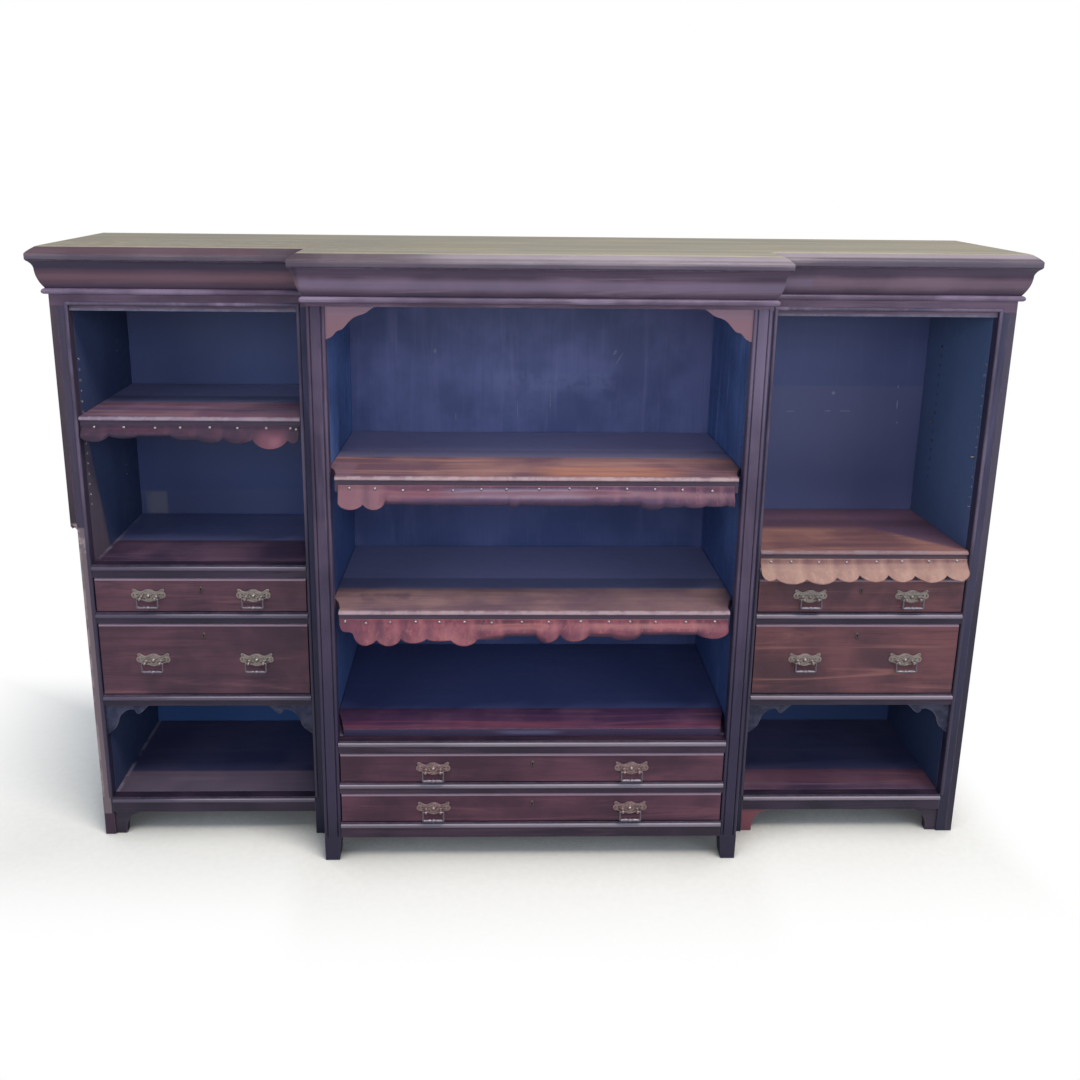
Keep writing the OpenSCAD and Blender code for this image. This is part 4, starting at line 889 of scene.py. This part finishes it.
def trim_surface(name):
    """Grid of points of one edging in its own millimetres, its columns' lengths and their x."""
    spec = TRIMS[name]
    x0, x1 = spec["edge"][0][0], spec["edge"][-1][0]
    count = int((x1 - x0) / COLUMN_STEP)
    grid, lengths, xs = [], [], []
    for i in range(count + 1):
        x = x0 + (x1 - x0) * i / count
        lean, curl, onset = between(spec["form"], x)
        start = between(spec["tacks"], x)[0] - 1
        wave = noise.noise(Vector((x * 0.021, 3.7, len(name))))
        ripple = noise.noise(Vector((x * 0.055, 9.1, len(name))))
        form = (lean + 8 * wave, curl + 9 * ripple + 6 * wave, onset, start)
        want = outline(spec, x)
        # Halving finds the length with which the leather is seen to hang down to the outline
        low, high = 8.0, 95.0
        for _ in range(24):
            length = (low + high) / 2
            line = hang(length, *form, TRIAL_STEPS)
            seen = max(-z + (-y - spec["plane"]) * spec["sight"] for y, z in line)
            low, high = (length, high) if seen < want else (low, length)
        line = hang(length, *form, ROWS * ROW_STEPS)
        grid.append([Vector((x, *line[j * ROW_STEPS])) for j in range(ROWS + 1)])
        lengths.append(length)
        xs.append(x)
    return grid, lengths, xs


def make_trim(name, material, tack_material):
    place = trim_place(name)
    grid, lengths, xs = trim_surface(name)
    columns, row = len(grid), len(grid[0])
    points = [place @ p for column in grid for p in column]
    faces = [(i * row + j, i * row + j + 1, (i + 1) * row + j + 1, (i + 1) * row + j)
             for i in range(columns - 1) for j in range(row - 1)]
    trim = mesh_piece(name + "_leather", (points, faces), material)
    thick = trim.modifiers.new("thickness", "SOLIDIFY")
    thick.thickness = LEATHER_T * MM
    thick.offset = 0
    bpy.context.view_layer.update()
    solid = bpy.data.meshes.new_from_object(trim.evaluated_get(bpy.context.evaluated_depsgraph_get()))
    trim.modifiers.clear()
    trim.data = solid
    tacks = []
    head = lathe([(3.5, 0.0), (3.4, 0.5), (2.9, 1.3), (1.9, 1.9), (0.8, 2.2), (0.1, 2.25)], 14)
    for x, drop in TRIMS[name]["tacks"]:
        i = min(range(columns), key=lambda n: abs(xs[n] - x))
        at = min(grid[i], key=lambda p: abs(p.z + drop))
        tacks.append((head, place @ Vector((x, at.y - 0.8, -drop))))
    heads = mesh_piece(name + "_tacks", joined(*tacks), tack_material)
    body = name + "_shelf"
    for piece, slot in ((trim, "leather"), (heads, "brass")):
        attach(piece, body)
    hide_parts(name + "_shelf_edging")


def make_trims():
    tack = metal("tack_metal", (132, 120, 122), (70, 60, 66), (186, 176, 176), 0.38)
    upper = leather("upper_leather", (92, 54, 70), (70, 40, 58), (122, 84, 94), (50, 34, 56), (
        ((-340, -200), None, (900, 985), 30, (110, 66, 78), 0.6),
        # Painted highlight along the upper side of the roll, and painted shade under it
        ((-200, 110), None, (955, 972), (40, 1, 4), (112, 98, 116), 0.75),
        ((-300, 330), None, (900, 955), (50, 1, 6), (62, 44, 70), 0.8),
        ((130, 290), None, (955, 985), 30, (92, 62, 84), 0.6),
        ((-460, -345), None, (900, 985), 12, (120, 80, 86), 0.7)), (-394, 190, 290, 383, 432))
    lower = leather("lower_leather", (118, 60, 70), (86, 40, 52), (146, 92, 92), (56, 30, 50), (
        ((-470, -400), None, (600, 660), (20, 1, 8), (84, 46, 62), 0.6),
        # Painted shade on the lower part, where it curls under
        ((-70, 460), None, (600, 624), (60, 1, 5), (80, 40, 56), 0.5)),
        (-369, -313, -254, -136, -70, 58, 124, 249, 383))
    left = leather("left_leather", (58, 31, 50), (42, 23, 40), (82, 50, 66), (34, 25, 46), (
        ((-648, -580), None, (1030, 1074), (22, 1, 14), (118, 68, 80), 0.6),
        # Painted highlight on the flap lobe
        ((-620, -590), None, (1042, 1062), 10, (148, 94, 104), 0.35)), (-993, -850, -786, -728, -578))
    right = leather("right_leather", (138, 103, 92), (116, 78, 74), (166, 132, 118), (88, 54, 58), (
        # Painted shade along the leather's upper part, under the shelf's edge
        ((551, 1062), None, (738, 760), (1, 1, 4), (96, 62, 66), 0.5),), (585, 657, 733, 789, 859, 923, 1001))
    for name, material in (("upper", upper), ("lower", lower), ("left", left), ("right", right)):
        make_trim(name, material, tack)


# Bright rings of the wings' peg holes, and small old marks

def pegged(side, x, y, row):
    """Whether a peg fills the hole: the left shelf's rows, and the right wing's two unused pegs."""
    if side < 0:
        return row == PEG_ROWS["left"]
    return x == IN_X and (row, y) in ((39, FRONT_PEG_Y), (40, REAR_PEG_Y))


def make_hole_rings():
    bright = metal("sleeve_metal", (132, 130, 140), (80, 78, 88), (190, 186, 190), 0.34)
    dull = metal("dull_sleeve_metal", (62, 66, 84), (38, 42, 58), (92, 94, 110), 0.5)
    ring = lathe([(2.65, -0.6), (2.7, 0.35), (3.3, 0.55), (3.9, 0.3), (4.0, 0.0)], 12, closed=False)
    # The rear column's rings take a darker copy of the sleeve metal: painted shade deeper inside
    for column, y, sleeve in (("front", FRONT_PEG_Y, bright), ("rear", REAR_PEG_Y, dull)):
        rings = []
        for x in (IN_X, WING_SIDE_X):
            for side in (-1, 1):
                turn = Matrix.Rotation(math.radians(90 * (-side if x == IN_X else side)), 3, "Z")
                for row in range(34, 49):
                    if not pegged(side, x, y, row):
                        rings.append((ring, (side * x, y, PEG_Z0 + row * PEG_PITCH), turn))
        piece = mesh_piece(column + "_hole_rings", joined(*rings), sleeve)
        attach(piece, "carcass")


def make_marks():
    """Paint specks and drips on the back boards: middle x and z, width, height and lean of each."""
    pale, count, blobs = plain("paint_marks", (124, 126, 148)), 14, []
    random.seed(5)
    for x, z, w, h, lean in (
            (-257, 1202, 9, 10, 0), (222, 1201, 8, 14, 0.5), (234, 1184, 4, 30, 0.6), (-131, 395, 8, 9, 0),
            (-202, 1021, 2.5, 24, 0), (-36, 1040, 2.5, 52, 0), (52, 1068, 2.5, 50, 0), (817, 1093, 9, 9, 0),
            (703, 1042, 26, 2, 0), (806, 1043, 18, 2.4, 0), (853, 1043, 30, 2, 0), (992, 1112, 3, 8, 0),
            (994, 1062, 3, 26, 0), (998, 1012, 4, 6, 0)):
        ring = []
        for c, s in circle(count):
            r = 1 + random.uniform(-0.15, 0.15)
            px, pz = w / 2 * r * c, h / 2 * r * s
            ring.append((x + px + lean * pz, pz + z))
        points = [(px, BACK_IN + out, pz) for out in (0.05, -0.4) for px, pz in ring]
        faces = ring_faces(2, count) + [tuple(range(2 * count - 1, count - 1, -1))]
        blobs.append(((points, faces), (0, 0, 0)))
    piece = mesh_piece("paint_marks", joined(*blobs), pale, smooth=False)
    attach(piece, "carcass")


# Floor, backdrop and light

def make_floor():
    """A pale floor that takes the shadow near the bookcase and is seen as plain white further off."""
    s = Shader("floor", rough=0.85, Specular_IOR_Level=0.1)
    grain = s.noise(s.place, 60.0, 3.0, 0.5)
    pale = s.mix(s.ramp(grain, 0.3, 0.7), (230, 226, 219), (234, 230, 223))
    # Painted shade: the floor's colour turns grey where ambient occlusion finds the bookcase close by
    s.put(s.bsdf.inputs["Base Color"], s.mix(s.ramp(s.cover(0.22, 6), 0.1, 0.72), (70, 70, 70), pale))
    # Distances, in metres, beyond the ends, the stepped front and the back
    x, y = s.axes[0], s.axes[1]
    left = s.times(s.math("MAXIMUM", s.math("SUBTRACT", -1.1, x), 0.0), 0.5)
    right = s.times(s.math("MAXIMUM", s.math("SUBTRACT", x, 1.1), 0.0), 2.0)
    front = s.ramp(s.math("ABSOLUTE", x), 0.5, 0.62, -0.18, -0.09)
    ahead = s.math("MAXIMUM", s.math("SUBTRACT", front, y), 0.0)
    behind = s.math("MAXIMUM", s.math("SUBTRACT", y, 0.3), 0.0)
    away = s.math("MAXIMUM", s.math("ADD", left, right), s.math("ADD", ahead, behind))
    path = s.node("LightPath")
    glossy = s.times(path.outputs["Is Glossy Ray"], 0.5)
    seen = s.math("MAXIMUM", path.outputs["Is Camera Ray"], glossy)
    share = s.times(seen, s.ramp(away, 0.0, 0.36, 0.04, 1.0))
    glow = s.node("Emission", {"Color": (1, 1, 1, 1), "Strength": 1.0})
    both = s.node("MixShader", {0: share, 1: s.bsdf.outputs[0], 2: glow.outputs[0]})
    out = next(n for n in s.tree.nodes if n.type == "OUTPUT_MATERIAL")
    s.tree.links.new(both.outputs[0], out.inputs[0])
    bpy.ops.mesh.primitive_plane_add(size=60, location=(0, 0, -0.0002))
    floor = bpy.context.object
    floor.name = "floor"
    floor.data.materials.append(s.material)


def make_world():
    """A dim bluish world that the camera sees as white."""
    world = bpy.data.worlds.new("studio")
    bpy.context.scene.world = world
    world.use_nodes = True
    tree = world.node_tree
    tree.nodes.clear()
    out = tree.nodes.new("ShaderNodeOutputWorld")
    mixer = tree.nodes.new("ShaderNodeMixShader")
    path = tree.nodes.new("ShaderNodeLightPath")
    tree.links.new(path.outputs["Is Camera Ray"], mixer.inputs[0])
    for socket, tint, strength in ((1, (0.72, 0.84, 1.0, 1), 0.34), (2, (1, 1, 1, 1), 1.0)):
        background = tree.nodes.new("ShaderNodeBackground")
        background.inputs[0].default_value = tint
        background.inputs[1].default_value = strength
        tree.links.new(background.outputs[0], mixer.inputs[socket])
    tree.links.new(mixer.outputs[0], out.inputs[0])


def softbox(name, place, aim, size, power, tint):
    data = bpy.data.lights.new(name, "AREA")
    data.shape = "RECTANGLE"
    data.size, data.size_y = size
    data.energy = power
    data.color = tint
    lamp = new_object(name, data)
    lamp.location = place
    lamp.rotation_euler = (Vector(aim) - Vector(place)).to_track_quat("-Z", "Y").to_euler()


def make_lights():
    softbox("key", (1.5, -2.65, 6.48), (0.1, -0.05, 0.7), (3.4, 0.3), 340, (1.0, 0.93, 0.84))
    for name, x, power in (("left_fill", -3.4, 66), ("front_fill", 0.2, 60), ("right_fill", 3.4, 76)):
        softbox(name, (x, -4.0 + 0.25 * abs(x), 2.3), (0, 0.2, 0.8), (2.4, 1.8), power, (0.72, 0.85, 1.0))


make_camera()
dress_cornice()
dress_sides()
dress_stiles()
dress_back()
dress_decks()
dress_rails()
dress_brackets()
dress_shelves()
dress_drawers()
make_handles()
make_trims()
make_hole_rings()
make_marks()
make_floor()
make_world()
make_lights()

bpy.context.scene.view_settings.view_transform = "Standard"
